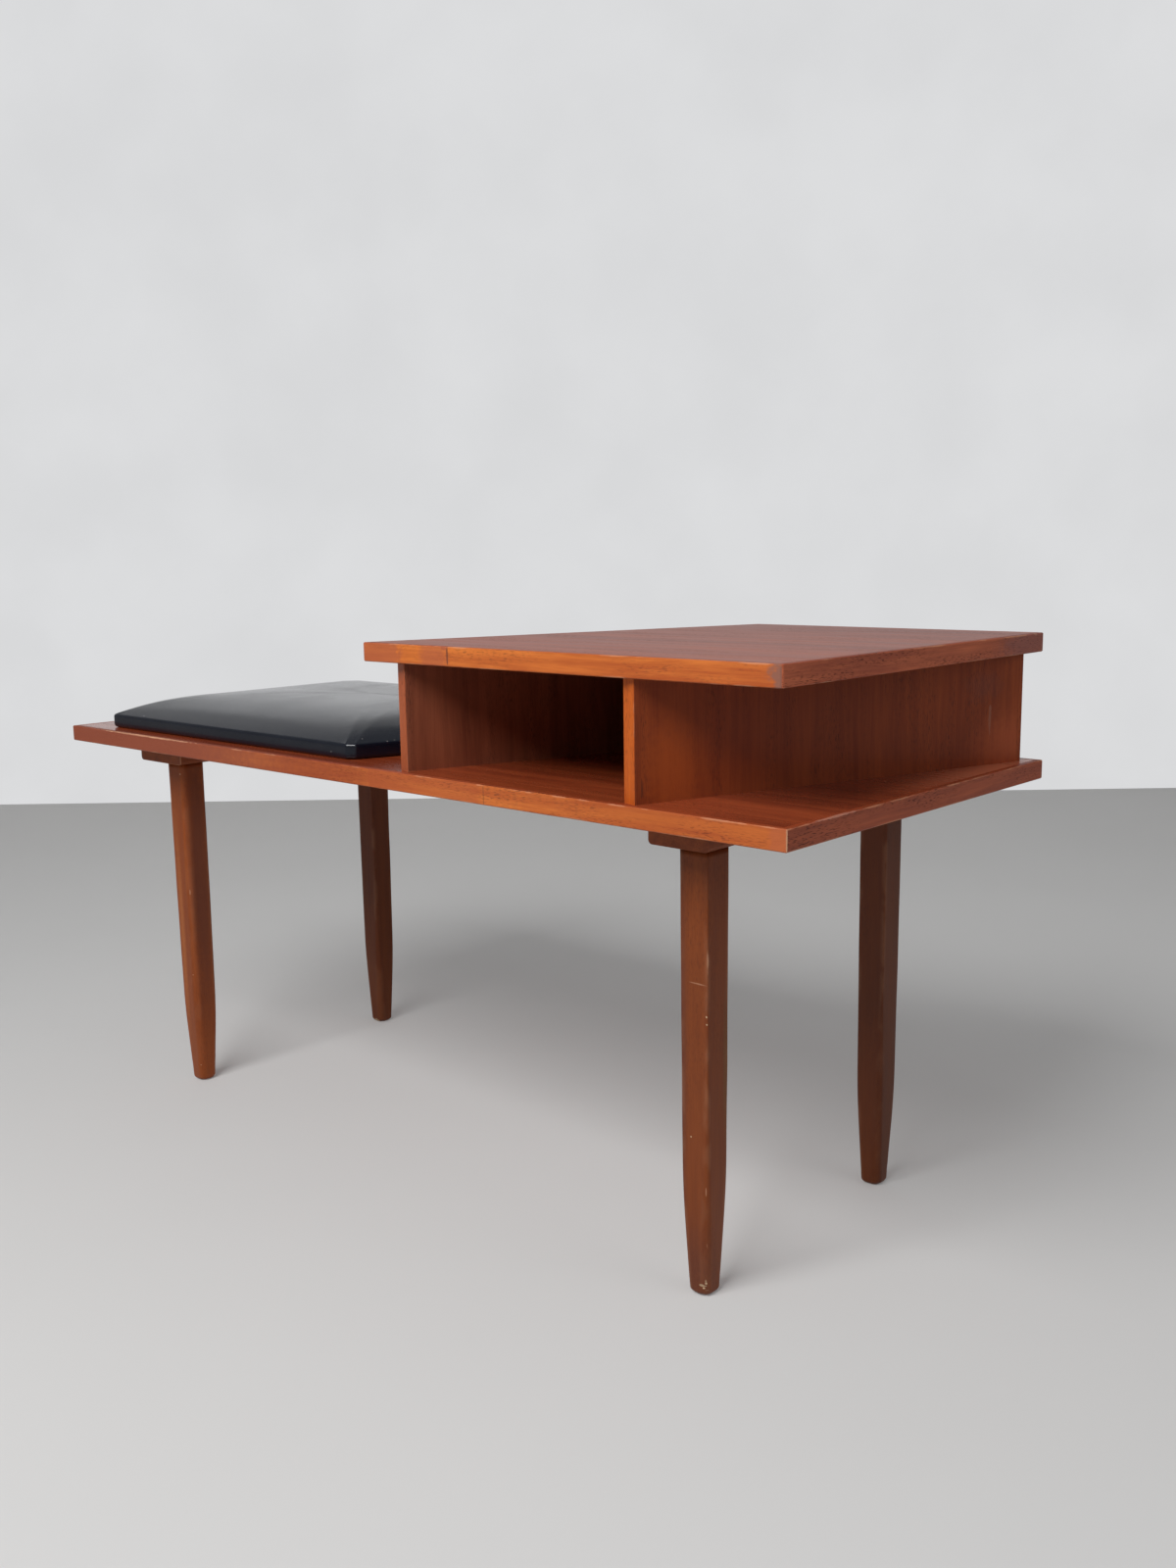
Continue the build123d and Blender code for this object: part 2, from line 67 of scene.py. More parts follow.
def length(name, description, millimetres):
    """A length property whose default is given in millimetres."""
    return FloatProperty(
        name=name, description=description, default=millimetres * MM, min=0.0, unit="LENGTH", precision=4
    )


def colour(name, description, red, green, blue):
    """A colour property with a linear default."""
    default = (red, green, blue, 1.0)
    return FloatVectorProperty(
        name=name, description=description, default=default, size=4, min=0.0, max=1.0, subtype="COLOR"
    )


def power(name, description, watts):
    """A lamp's power property."""
    return FloatProperty(name=name, description=description, default=watts, min=0.0, unit="POWER")


class BenchLegSizes(bpy.types.PropertyGroup):
    """Sizes of the four square legs."""

    top_width: length("Top width", "Width of the square leg under its crossbar", 28.2)
    knee_width: length("Knee width", "Width where the short taper begins", 26.6)
    knee_height: length("Knee height", "Height of the knee above the floor", 91.0)
    knee_blend: length("Knee blend", "Half the height over which the two tapers meet", 28.0)
    foot_width: length("Foot width", "Width of the leg at the floor", 18.8)
    foot_radius: length("Foot radius", "Rounding of the foot's end", 5.0)
    soft_radius: length("Soft radius", "Two corners of the front left leg", 6.0)
    arris_radius: length("Arris radius", "The other corners of the upper part", 1.2)
    square_height: length("Square height", "Above here the corners keep their radii", 200.0)
    foot_arris: length("Foot arris", "Front left and back right corners at the floor", 3.0)
    foot_corner: length("Foot corner", "The other two corners at the floor", 8.0)
    tenon_diameter: length("Tenon diameter", "Round tenon in the crossbar", 16.0)
    tenon_length: length("Tenon length", "How far the tenon goes up", 19.0)


class BenchPadSizes(bpy.types.PropertyGroup):
    """Sizes of the seat pad."""

    side_height: length("Side height", "Upright part of the pad's side", 15.0)
    crown: length("Crown", "How much the crown rises over the side", 22.2)
    crown_reach: length("Crown reach", "How far in the crown takes to rise", 50.0)
    corner_cut: length("Corner cut", "Facet across each corner", 6.0)
    lower_roll: length("Lower roll", "Rounding of the lower edge", 3.5)
    edge_roll: length("Edge roll", "Rounding of the upper edge", 2.6)
    vinyl_thickness: length("Vinyl thickness", "Thickness of the cover", 1.0)
    turn_in: length("Turn in", "Width of the cover stapled under the board", 22.0)
    unevenness: length("Unevenness", "Height of the cover's slow waves", 0.15)
    swell_steps: IntProperty(
        name="Swell steps", description="Steps of the cloth run that settles the cover", default=16, min=2
    )
    swell_cap: length("Swell cap", "The most that the cloth run may move a point", 2.5)


class BenchFinish(bpy.types.PropertyGroup):
    """Colours of the finishes."""

    lipping_light: colour("Lipping light", "Paler figure of the lippings", 0.66, 0.18, 0.030)
    lipping_dark: colour("Lipping dark", "Darker figure of the lippings", 0.42, 0.085, 0.016)
    veneer_light: colour("Veneer light", "Paler figure of the tops", 0.36, 0.070, 0.022)
    veneer_dark: colour("Veneer dark", "Darker figure of the tops", 0.21, 0.034, 0.012)
    panel_light: colour("Panel light", "Paler figure of the uprights", 0.33, 0.066, 0.015)
    panel_dark: colour("Panel dark", "Darker figure of the uprights", 0.18, 0.029, 0.008)
    leg_light: colour("Leg light", "Paler figure of the legs", 0.28, 0.066, 0.013)
    leg_dark: colour("Leg dark", "Darker figure of the legs", 0.18, 0.038, 0.008)
    bar_light: colour("Crossbar light", "Paler figure of the crossbars", 0.30, 0.076, 0.019)
    bar_dark: colour("Crossbar dark", "Darker figure of the crossbars", 0.18, 0.040, 0.011)
    pore: colour("Pore", "Colour inside the wood's pores", 0.045, 0.012, 0.007)
    bare_wood: colour("Bare wood", "Wood where the finish has worn off", 0.74, 0.42, 0.25)
    core: colour("Core", "Softwood of the board cores", 0.55, 0.37, 0.19)
    vinyl: colour("Vinyl", "Black seat vinyl", 0.004, 0.006, 0.0125)
    foam: colour("Foam", "Upholstery foam", 0.72, 0.58, 0.30)
    steel: colour("Steel", "Zinc plated steel", 0.60, 0.59, 0.57)


class BenchStage(bpy.types.PropertyGroup):
    """The stage's colours, lamps and lens."""

    floor: colour("Floor", "Pale studio floor", 0.60, 0.588, 0.585)
    wall: colour("Wall", "Pale studio wall", 0.70, 0.705, 0.715)
    key_power: power("Key power", "Power of the soft lamp in front", 52.0)
    fill_power: power("Fill power", "Power of the weak lamp at the right", 5.0)
    ambient: FloatProperty(
        name="Ambient", description="Strength of the even light from all round", default=0.30, min=0.0
    )
    lens: FloatProperty(
        name="Lens", description="Focal length in millimetres on a 36 mm frame", default=32.238, min=1.0
    )


# ---------------------------------------------------------------- shader node helpers


def feed(tree, sockets, inputs):
    """Sets sockets, by name or number, to plain values, or links other sockets to them."""
    for key, value in inputs.items():
        if isinstance(value, bpy.types.NodeSocket):
            tree.links.new(value, sockets[key])
        else:
            sockets[key].default_value = value


def add_node(tree, kind, inputs, **settings):
    """One node with its settings; inputs are values or sockets, by socket name or number."""
    node = tree.nodes.new(kind)
    for key, value in settings.items():
        setattr(node, key, value)
    feed(tree, node.inputs, inputs)
    return node


def math(tree, operation, first, second=0.0, clamp=False):
    """A Math node's result."""
    node = add_node(tree, "ShaderNodeMath", {0: first, 1: second}, operation=operation, use_clamp=clamp)
    return node.outputs[0]


def vector_math(tree, operation, first, second):
    """A Vector Math node's vector."""
    return add_node(tree, "ShaderNodeVectorMath", {0: first, 1: second}, operation=operation).outputs[0]


def blend_colours(tree, share, first, second, blend="MIX"):
    """first, mixed towards second by share."""
    inputs = {0: share, 6: first, 7: second}
    return add_node(tree, "ShaderNodeMix", inputs, data_type="RGBA", blend_type=blend).outputs[2]


def between(tree, value, low, high, start=0.0, end=1.0):
    """value eased from start at low to end at high, and held outside."""
    inputs = {"Value": value, "From Min": low, "From Max": high, "To Min": start, "To Max": end}
    return add_node(tree, "ShaderNodeMapRange", inputs, interpolation_type="SMOOTHSTEP").outputs[0]


def noise(tree, vector, stretch, detail=2.0, rough=0.5):
    """Noise with its own number of cells a metre along each axis."""
    scaled = vector_math(tree, "MULTIPLY", vector, stretch)
    inputs = {"Vector": scaled, "Scale": 1.0, "Detail": detail, "Roughness": rough}
    return add_node(tree, "ShaderNodeTexNoise", inputs).outputs["Fac"]


def tinted(tree, tint, shade):
    """A colour multiplied by a value."""
    grey = add_node(tree, "ShaderNodeCombineXYZ", {"X": shade, "Y": shade, "Z": shade}).outputs[0]
    return blend_colours(tree, 1.0, tint, grey, "MULTIPLY")


def turned_to(tree, vector, axes):
    """A vector measured along other axes."""
    inputs = {"Vector": vector, "Rotation": axes.to_euler("XYZ")}
    return add_node(tree, "ShaderNodeMapping", inputs).outputs[0]


def new_group(name, inputs, outputs):
    """An empty node group, and its input and output nodes' sockets. Each socket comes with its default:
    a number, three for a vector or four for a colour."""
    tree = bpy.data.node_groups.new(name, "ShaderNodeTree")
    kinds = {1: "NodeSocketFloat", 3: "NodeSocketVector", 4: "NodeSocketColor"}
    for in_out, sockets in (("INPUT", inputs), ("OUTPUT", outputs)):
        for label, default in sockets.items():
            kind = kinds[np.size(default)]
            tree.interface.new_socket(name=label, in_out=in_out, socket_type=kind).default_value = default
    return tree, tree.nodes.new("NodeGroupInput").outputs, tree.nodes.new("NodeGroupOutput").inputs


def place_group(tree, name, inputs):
    """A shared node group placed in a material, and made when it is first asked for."""
    if name not in bpy.data.node_groups:
        EFFECTS[name](name)
    return add_node(tree, "ShaderNodeGroup", inputs, node_tree=bpy.data.node_groups[name]).outputs


# ---------------------------------------------------------------- shared effects


def make_teak_figure(name):
    """Teak's figure: broad bands, fine streaks and short dark pores, all stretched along X."""
    inputs = {
        "Vector": (0, 0, 0),
        "Light": (0.6, 0.2, 0.05, 1),
        "Dark": (0.3, 0.08, 0.02, 1),
        "Pore": (0.05, 0.01, 0.01, 1),
        "Figure": 0.5,
        "Streaks": 0.5,
        "Pores": 0.5,
    }
    outputs = {"Color": (0, 0, 0, 1), "Dullness": 0.0, "Height": 0.0}
    tree, given, out = new_group(name, inputs, outputs)
    wobble = noise(tree, given["Vector"], (2.2, 9.0, 9.0))
    drift = math(tree, "MULTIPLY", math(tree, "SUBTRACT", wobble, 0.5), 0.022)
    sideways = add_node(tree, "ShaderNodeCombineXYZ", {"Y": drift, "Z": drift}).outputs[0]
    warped = vector_math(tree, "ADD", given["Vector"], sideways)
    bands = between(tree, noise(tree, warped, (1.3, 34.0, 34.0), 3.0, 0.55), 0.32, 0.68)
    streaks = between(tree, noise(tree, warped, (6.0, 130.0, 130.0), 4.0, 0.7), 0.32, 0.68)
    fine = noise(tree, warped, (34.0, 900.0, 900.0), 1.0)
    dashes = noise(tree, warped, (210.0, 1600.0, 1600.0), 0.0)
    clusters = between(tree, noise(tree, warped, (9.0, 60.0, 60.0), 1.0), 0.35, 0.7)
    pores = math(tree, "MULTIPLY", between(tree, dashes, 0.56, 0.72), clusters)
    pores = math(tree, "MULTIPLY", pores, given["Pores"])
    banded = math(tree, "MULTIPLY", math(tree, "SUBTRACT", bands, 0.5), given["Figure"])
    streaked = math(tree, "MULTIPLY", math(tree, "SUBTRACT", streaks, 0.5), given["Streaks"])
    grained = math(tree, "MULTIPLY", math(tree, "SUBTRACT", fine, 0.5), given["Streaks"])
    figured = math(tree, "ADD", banded, streaked)
    tone = math(tree, "ADD", figured, math(tree, "ADD", grained, 0.5), clamp=True)
    wood = blend_colours(tree, tone, given["Dark"], given["Light"])
    dull = math(tree, "ADD", math(tree, "MULTIPLY", pores, 0.25), math(tree, "MULTIPLY", streaks, 0.05))
    relief = math(tree, "SUBTRACT", math(tree, "MULTIPLY", fine, 0.35), pores)
    surface = blend_colours(tree, pores, wood, given["Pore"])
    feed(tree, out, {"Color": surface, "Dullness": dull, "Height": relief})


def make_edge_wear(name):
    """How near a point of a box's surface is to an edge: the middle one of its distances to the faces."""
    inputs = {"Vector": (0, 0, 0), "Low": (0, 0, 0), "High": (0, 0, 0), "Width": 0.0015}
    tree, given, out = new_group(name, inputs, {"Mask": 0.0})
    above = vector_math(tree, "SUBTRACT", given["Vector"], given["Low"])
    below = vector_math(tree, "SUBTRACT", given["High"], given["Vector"])
    nearest = vector_math(tree, "MINIMUM", above, below)
    parts = add_node(tree, "ShaderNodeSeparateXYZ", {0: nearest}).outputs
    smaller = math(tree, "MINIMUM", parts["X"], parts["Y"])
    larger = math(tree, "MAXIMUM", parts["X"], parts["Y"])
    middle = math(tree, "MAXIMUM", smaller, math(tree, "MINIMUM", larger, parts["Z"]))
    uneven = noise(tree, given["Vector"], (25.0, 25.0, 25.0), 4.0)
    width = math(tree, "MULTIPLY", given["Width"], between(tree, uneven, 0.44, 0.68, 0.02, 1.5))
    feed(tree, out, {"Mask": between(tree, middle, width, math(tree, "MULTIPLY", width, 0.3))})


def make_mark(name):
    """A ragged spot: an ellipsoid whose border is moved in and out by noise, and fades over Soft."""
    inputs = {"Vector": (0, 0, 0), "Centre": (0, 0, 0), "Radii": (0.01, 0.01, 0.01)}
    inputs.update(Ragged=0.6, Soft=0.3)
    tree, given, out = new_group(name, inputs, {"Mask": 0.0})
    offset = vector_math(tree, "SUBTRACT", given["Vector"], given["Centre"])
    shrunk = vector_math(tree, "DIVIDE", offset, given["Radii"])
    reach = add_node(tree, "ShaderNodeVectorMath", {0: shrunk}, operation="LENGTH").outputs["Value"]
    ragged = noise(tree, given["Vector"], (180.0, 180.0, 180.0), 3.0)
    moved = math(tree, "MULTIPLY", math(tree, "SUBTRACT", ragged, 0.5), given["Ragged"])
    inside = math(tree, "SUBTRACT", 1.0, given["Soft"])
    feed(tree, out, {"Mask": between(tree, math(tree, "ADD", reach, moved), 1.0, inside)})


EFFECTS = {"Teak figure": make_teak_figure, "Edge wear": make_edge_wear, "Mark": make_mark}


# ---------------------------------------------------------------- materials

# Grain directions: each matrix's first row lies along the grain
ALONG_X = Matrix(((1, 0, 0), (0, 1, 0), (0, 0, 1)))
ALONG_Y = Matrix(((0, 1, 0), (-1, 0, 0), (0, 0, 1)))
ALONG_Z = Matrix(((0, 0, 1), (0, 1, 0), (-1, 0, 0)))
ALONG_SLANT = Matrix(((sin(SLANT), cos(SLANT), 0), (-cos(SLANT), sin(SLANT), 0), (0, 0, 1)))
UP_SLANTED = Matrix(((0, 0, 1), (sin(SLANT), cos(SLANT), 0), (-cos(SLANT), sin(SLANT), 0)))
FACET_TURN = (pi / 2 - SLANT) / 2  # of the pad's front right corner
CORNER_FACET = Matrix(
    ((cos(FACET_TURN), sin(FACET_TURN), 0), (-sin(FACET_TURN), cos(FACET_TURN), 0), (0, 0, 1))
)


def mark(centre, radii, tint, share, ragged=0.8, soft=0.3, axes=ALONG_X):
    """A mark: an ellipsoid of another colour, whose radii lie along the axes. Some are marks of age, some
    are painted shade, painted light and painted sheen.
    """
    shape = {"Centre": axes @ Vector(centre), "Radii": radii, "Ragged": ragged, "Soft": soft}
    return {"shape": shape, "tint": tint, "share": share, "axes": axes}


def marks_of(piece):
    """The marks on a piece: chips, scratches, joints and tone that age has left, and some painted shade,
    painted light and painted sheen.
    """
    # bare wood for chips, and also for one painted highlight on the base front's top arris
    bare_and_highlight = bpy.context.scene.bench_finish.bare_wood
    dark = (0.10, 0.03, 0.014, 1)
    # pinkish grey: painted sheen at the shelf's front right corner
    rubbed_and_sheen = (0.25, 0.100, 0.066, 1)
    red = (0.36, 0.085, 0.040, 1)
    glue = (0.50, 0.33, 0.25, 1)
    grazed = (0.33, 0.20, 0.15, 1)
    smudge = (0.035, 0.012, 0.010, 1)
    pale = (0.64, 0.47, 0.29, 1)
    # warm brown for a painted highlight on the front left leg
    warm_highlight = (0.42, 0.135, 0.042, 1)
    scratch = (0.50, 0.27, 0.16, 1)
    shadowed = (0.085, 0.032, 0.024, 1)
    # pale grey for specks, and for one painted highlight on the pad's corner facet
    speck_and_highlight = (0.55, 0.57, 0.60, 1)
    marks = {
        "shelf_front_lipping": [
            # painted sheen: the pinkish grey reflection on the front face near the right corner
            mark((0.500, -0.207, 0.5285), (0.0175, 0.009, 0.030), rubbed_and_sheen, 0.95, 1.3, 0.45),
            mark((0.154, -0.207, 0.531), (0.0011, 0.004, 0.011), dark, 0.9, 1.6),
            mark((0.150, -0.207, 0.536), (0.006, 0.004, 0.0022), red, 0.7, 1.0),
            # red-brown at the left end: partly the wood's own tone, partly painted shade where the light
            # falls off to the left
            mark((0.055, -0.207, 0.5285), (0.045, 0.02, 0.02), red, 0.55, 1.0),
            mark((0.136, -0.207, 0.5285), (0.022, 0.02, 0.03), red, 0.5, 0.8, 0.5),
        ],
        "shelf_right_lipping": [
            mark((0.495, 0.1896, 0.537), (0.003, 0.004, 0.0022), bare_and_highlight, 0.9, 0.9),
            mark((0.495, 0.19, 0.527), (0.01, 0.085, 0.03), (0.26, 0.105, 0.090, 1), 0.7, 0.8, 0.6),
        ],
        "base_front_lipping": [
            # darker towards the left end: partly the wood's own tone, partly painted shade where the light
            # falls off
            mark((-0.42, -0.207, 0.4135), (0.55, 0.1, 0.1), (0.255, 0.060, 0.030, 1), 0.95, 0.3, 0.75),
            mark((-0.02, -0.207, 0.4135), (0.15, 0.1, 0.1), (0.25, 0.032, 0.008, 1), 0.5, 0.3, 0.9),
            mark((0.40, -0.207, 0.4135), (0.20, 0.1, 0.1), (0.32, 0.050, 0.006, 1), 0.45, 0.3, 0.9),
            mark((0.5, -0.207, 0.4135), (0.0009, 0.004, 0.012), bare_and_highlight, 0.7, 1.6),
            mark((0.494, -0.207, 0.4135), (0.010, 0.004, 0.018), (0.42, 0.10, 0.035, 1), 0.6),
            mark((0.1940, -0.207, 0.4135), (0.0006, 0.004, 0.012), dark, 0.6, 0.5),
            mark((0.115, -0.207, 0.4135), (0.079, 0.03, 0.04), (0.38, 0.075, 0.020, 1), 0.5, 0.12, 0.12),
            # painted highlight: a thin pale line along the top arris at the left
            mark((-0.34, -0.207, 0.4219), (0.105, 0.004, 0.0010), bare_and_highlight, 0.5, 1.2),
        ],
        "base_right_lipping": [
            # painted highlight: a pale pinkish line along the top arris near the front
            mark((0.5, -0.140, 0.4225), (0.003, 0.040, 0.0018), (0.52, 0.26, 0.19, 1), 0.55, 1.4),
            mark((0.5, -0.2066, 0.4135), (0.004, 0.0009, 0.010), bare_and_highlight, 0.7, 1.6),
        ],
        "base_top_veneer": [
            mark((0.4479, 0.0142, 0.422), (0.0012, 0.0012, 0.002), bare_and_highlight, 0.8, 0.5),
            mark((0.0985, -0.1568, 0.422), (0.037, 0.0006, 0.002), glue, 0.6, 0.5, 0.5, ALONG_SLANT),
            # painted light: the base top's right margin, brighter outside the shelf's shadow
            mark((0.485, 0.12, 0.422), (0.06, 0.19, 0.01), (0.72, 0.235, 0.125, 1), 0.5, 0.3, 0.95),
        ],
        "right_upright_right_veneer": [
            mark((0.4746, 0.147, 0.462), (0.003, 0.0016, 0.017), grazed, 0.3, 1.4),
            # painted shade: a darker purplish patch high at the back, under the shelf
            mark((0.4723, 0.1402, 0.4928), (0.012, 0.05, 0.018), (0.14, 0.05, 0.040, 1), 0.3, 0.8, 0.9),
            mark((0.3572, -0.1958, 0.434), (0.004, 0.003, 0.011), smudge, 0.7, 1.2),
            # painted light: the face is lighter at its front and low at its back, where the shelf's shadow
            # does not reach
            mark((0.3663, -0.169, 0.45), (0.02, 0.05, 0.06), (0.40, 0.078, 0.012, 1), 0.6, 0.8, 0.9),
            mark((0.48, 0.165, 0.44), (0.03, 0.05, 0.04), (0.42, 0.09, 0.030, 1), 0.5, 0.8, 0.9),
        ],
        "right_upright_front_lipping": [
            mark((0.3708, -0.2045, 0.424), (0.007, 0.004, 0.0018), bare_and_highlight, 0.8, 1.0),
        ],
        "front_left_leg": [
            # painted highlight: a warm light band down the left corner
            mark((-0.381, -0.152, 0.18), (0.007, 0.010, 0.20), warm_highlight, 0.6, 0.4, 0.9),
            mark((-0.361, -0.135, 0.25), (0.008, 0.02, 0.24), shadowed, 0.6, 0.3, 0.8),
            mark((-0.3655, -0.152, 0.3703), (0.0011, 0.004, 0.0013), scratch, 0.8),
            mark((-0.363, -0.152, 0.2316), (0.0006, 0.004, 0.004), scratch, 0.6),
            mark((-0.366, -0.152, 0.1325), (0.0008, 0.004, 0.0009), scratch, 0.7),
            mark((-0.3678, -0.15, 0.0203), (0.0008, 0.006, 0.0012), pale, 0.8),
        ],
        "front_right_leg": [
            mark((0.361, -0.15, 0.22), (0.010, 0.03, 0.26), shadowed, 0.5, 0.3, 0.9),
            # painted shade with an olive tint on the right face, turned from the light
            mark((0.389, -0.127, 0.20), (0.005, 0.006, 0.09), (0.17, 0.095, 0.036, 1), 0.45, 0.4, 0.9),
            mark((0.3798, -0.150, 0.0105), (0.0042, 0.006, 0.0013), pale, 0.9, 1.6),
            mark((0.3835, -0.150, 0.0062), (0.0030, 0.006, 0.0014), pale, 0.9, 1.5),
            mark((0.3825, -0.149, 0.0150), (0.0008, 0.006, 0.0030), pale, 0.7, 1.2),
            mark((0.375, -0.15, 0.015), (0.03, 0.03, 0.07), shadowed, 0.4, 0.3, 0.9),
            mark((0.3787, -0.152, 0.2724), (0.010, 0.004, 0.0008), scratch, 0.45, 0.9, 0.6),
            mark((0.3885, -0.152, 0.2930), (0.0006, 0.004, 0.012), scratch, 0.5, 0.8, 0.6),
            mark((0.3875, -0.152, 0.2465), (0.0008, 0.006, 0.0010), pale, 0.7),
            mark((0.3878, -0.152, 0.2402), (0.0008, 0.006, 0.0009), pale, 0.7),
            mark((0.3714, -0.152, 0.1409), (0.0008, 0.006, 0.0009), pale, 0.7),
            mark((0.3860, -0.152, 0.0963), (0.0005, 0.006, 0.0045), scratch, 0.6),
            mark((0.3848, -0.152, 0.0467), (0.0005, 0.006, 0.0060), scratch, 0.5),
            mark((0.3828, -0.150, 0.0126), (0.0015, 0.006, 0.0016), pale, 0.95, 1.2),
            mark((0.3810, -0.150, 0.0085), (0.0014, 0.006, 0.0014), pale, 0.9, 1.2),
        ],
        "back_left_leg": [
            mark((-0.375, 0.12, 0.002), (0.01, 0.01, 0.003), pale, 0.7, 1.3),
        ],
        "pad_vinyl_cover": [
            # painted highlight: a pale line along the top edge of the front right corner facet
            mark((-0.0063, -0.1852, 0.4368), (0.0105, 0.0012, 0.0013), speck_and_highlight, 0.85, 0.9, 0.5, CORNER_FACET),
            mark((-0.3847, -0.1812, 0.4390), (0.0009, 0.0009, 0.0012), speck_and_highlight, 0.7, 0.4),
            mark((-0.1906, -0.1870, 0.4375), (0.0016, 0.0006, 0.0008), speck_and_highlight, 0.5, 0.6),
        ],
    }
    return marks.get(piece, ())


def add_marks(tree, place, piece, surface, dullness):
    """Lays a piece's marks over its colour, one after the other, and makes it duller under them."""
    for spot in marks_of(piece):
        turned = turned_to(tree, place["Object"], spot["axes"])
        mask = place_group(tree, "Mark", {"Vector": turned, **spot["shape"]})["Mask"]
        surface = blend_colours(tree, math(tree, "MULTIPLY", mask, spot["share"]), surface, spot["tint"])
        dullness = math(tree, "ADD", dullness, math(tree, "MULTIPLY", mask, 0.12))
    return surface, dullness


def new_material(name):
    """An empty node material, its tree, its Principled BSDF and its texture coordinates."""
    material = bpy.data.materials.new(name)
    material.use_nodes = True
    tree = material.node_tree
    return material, tree, tree.nodes["Principled BSDF"], tree.nodes.new("ShaderNodeTexCoord").outputs


def finish_surface(tree, shader, surface, roughness, height, distance, strength):
    """Feeds a Principled shader with its colour, its roughness and its fine relief."""
    bump = add_node(tree, "ShaderNodeBump", {"Height": height, "Distance": distance, "Strength": strength})
    feed(tree, shader.inputs, {"Base Color": surface, "Roughness": roughness, "Normal": bump.outputs[0]})


def points_of(name):
    """The points of a CAD node's mesh."""
    vertices = NODES[name].data.vertices
    points = np.zeros(len(vertices) * 3)
    vertices.foreach_get("co", points)
    return points.reshape(-1, 3)


def box_of(names, axes):
    """Lowest and highest corner of some CAD nodes, measured along given axes."""
    turned = np.concatenate([points_of(name) for name in names]) @ np.array(axes).T
    return turned.min(0), turned.max(0)


def teak_material(
    piece,
    axes,
    tones,
    seed,
    roughness,
    specular,
    figure=0.6,
    streaks=0.5,
    pores=0.5,
    worn=(),
    wear_width=0.0012,
    wear_share=0.3,
    flanks=None,
    arris=0.0,
):
    """Finished teak whose grain runs along the first of the axes.

    tones are the paler and the darker figure. worn names the nodes of the board whose edges are worn.
    flanks is the direction that the veneered faces look along, and their own tones. arris is the share
    of worn colour where the piece's own arris attribute is 1.
    """
    finish = bpy.context.scene.bench_finish
    material, tree, shader, place = new_material(f"{piece}_teak")
    turned = turned_to(tree, place["Object"], axes)
    light, dark = tones
    if flanks:
        direction, (flank_light, flank_dark) = flanks
        inputs = {0: place["Normal"], 1: direction}
        facing = add_node(tree, "ShaderNodeVectorMath", inputs, operation="DOT_PRODUCT").outputs["Value"]
        on_flank = between(tree, math(tree, "ABSOLUTE", facing), 0.6, 0.9)
        light = blend_colours(tree, on_flank, light, flank_light)
        dark = blend_colours(tree, on_flank, dark, flank_dark)
    shifted = vector_math(tree, "ADD", turned, (seed * 1.7, seed * 0.83, seed * 0.41))
    values = {"Vector": shifted, "Light": light, "Dark": dark, "Pore": finish.pore}
    values.update(Figure=figure, Streaks=streaks, Pores=pores)
    wood = place_group(tree, "Teak figure", values)
    surface, dullness = add_marks(tree, place, piece, wood["Color"], wood["Dullness"])
    if worn:
        low, high = box_of(worn, axes)
        edge = {"Vector": turned, "Low": low, "High": high, "Width": wear_width}
        mask = place_group(tree, "Edge wear", edge)["Mask"]
        surface = blend_colours(tree, math(tree, "MULTIPLY", mask, wear_share), surface, finish.bare_wood)
        dullness = math(tree, "ADD", dullness, math(tree, "MULTIPLY", mask, 0.2))
    if arris:
        edge = add_node(tree, "ShaderNodeAttribute", {}, attribute_name="arris").outputs["Fac"]
        uneven = between(tree, noise(tree, place["Object"], (60.0, 60.0, 22.0), 3.0), 0.42, 0.6)
        mask = math(tree, "MULTIPLY", math(tree, "MULTIPLY", edge, uneven), arris)
        surface = blend_colours(tree, mask, surface, finish.bare_wood)
        dullness = math(tree, "ADD", dullness, math(tree, "MULTIPLY", mask, 0.2))
    shader.inputs["Specular IOR Level"].default_value = specular
    dullness = math(tree, "ADD", dullness, roughness, clamp=True)
    finish_surface(tree, shader, surface, dullness, wood["Height"], 0.00012, 0.6)
    return material


def board_core_material(name, seed):
    """Blockboard: softwood strips side by side, each with its own shade and grain."""
    core = bpy.context.scene.bench_finish.core
    material, tree, shader, place = new_material(name)
    across = add_node(tree, "ShaderNodeSeparateXYZ", {0: place["Object"]}).outputs["Y"]
    strip = math(tree, "FLOOR", math(tree, "MULTIPLY", across, 40.0))
    inputs = {"W": math(tree, "ADD", strip, seed)}
    shade = add_node(tree, "ShaderNodeTexWhiteNoise", inputs, noise_dimensions="1D").outputs["Value"]
    grain = noise(tree, place["Object"], (5.0, 260.0, 260.0), 3.0)
    tone = math(tree, "ADD", math(tree, "MULTIPLY", shade, 0.35), 0.7)
    tone = math(tree, "ADD", tone, math(tree, "MULTIPLY", grain, 0.3))
    roughness = between(tree, grain, 0.3, 0.7, 0.65, 0.85)
    finish_surface(tree, shader, tinted(tree, core, tone), roughness, grain, 0.0002, 0.5)
    return material


def steel_material(name):
    """Zinc plated steel with drawn lines and dull spots."""
    steel = bpy.context.scene.bench_finish.steel
    material, tree, shader, place = new_material(name)
    spots = between(tree, noise(tree, place["Object"], (420.0, 420.0, 420.0), 3.0), 0.35, 0.7)
    lines = noise(tree, place["Object"], (1800.0, 1800.0, 250.0), 1.0)
    dull = (0.24, 0.20, 0.17, 1.0)
    surface = blend_colours(tree, math(tree, "MULTIPLY", spots, 0.45), steel, dull)
    shader.inputs["Metallic"].default_value = 1.0
    finish_surface(tree, shader, surface, between(tree, spots, 0.0, 1.0, 0.28, 0.5), lines, 0.00003, 0.4)
    return material


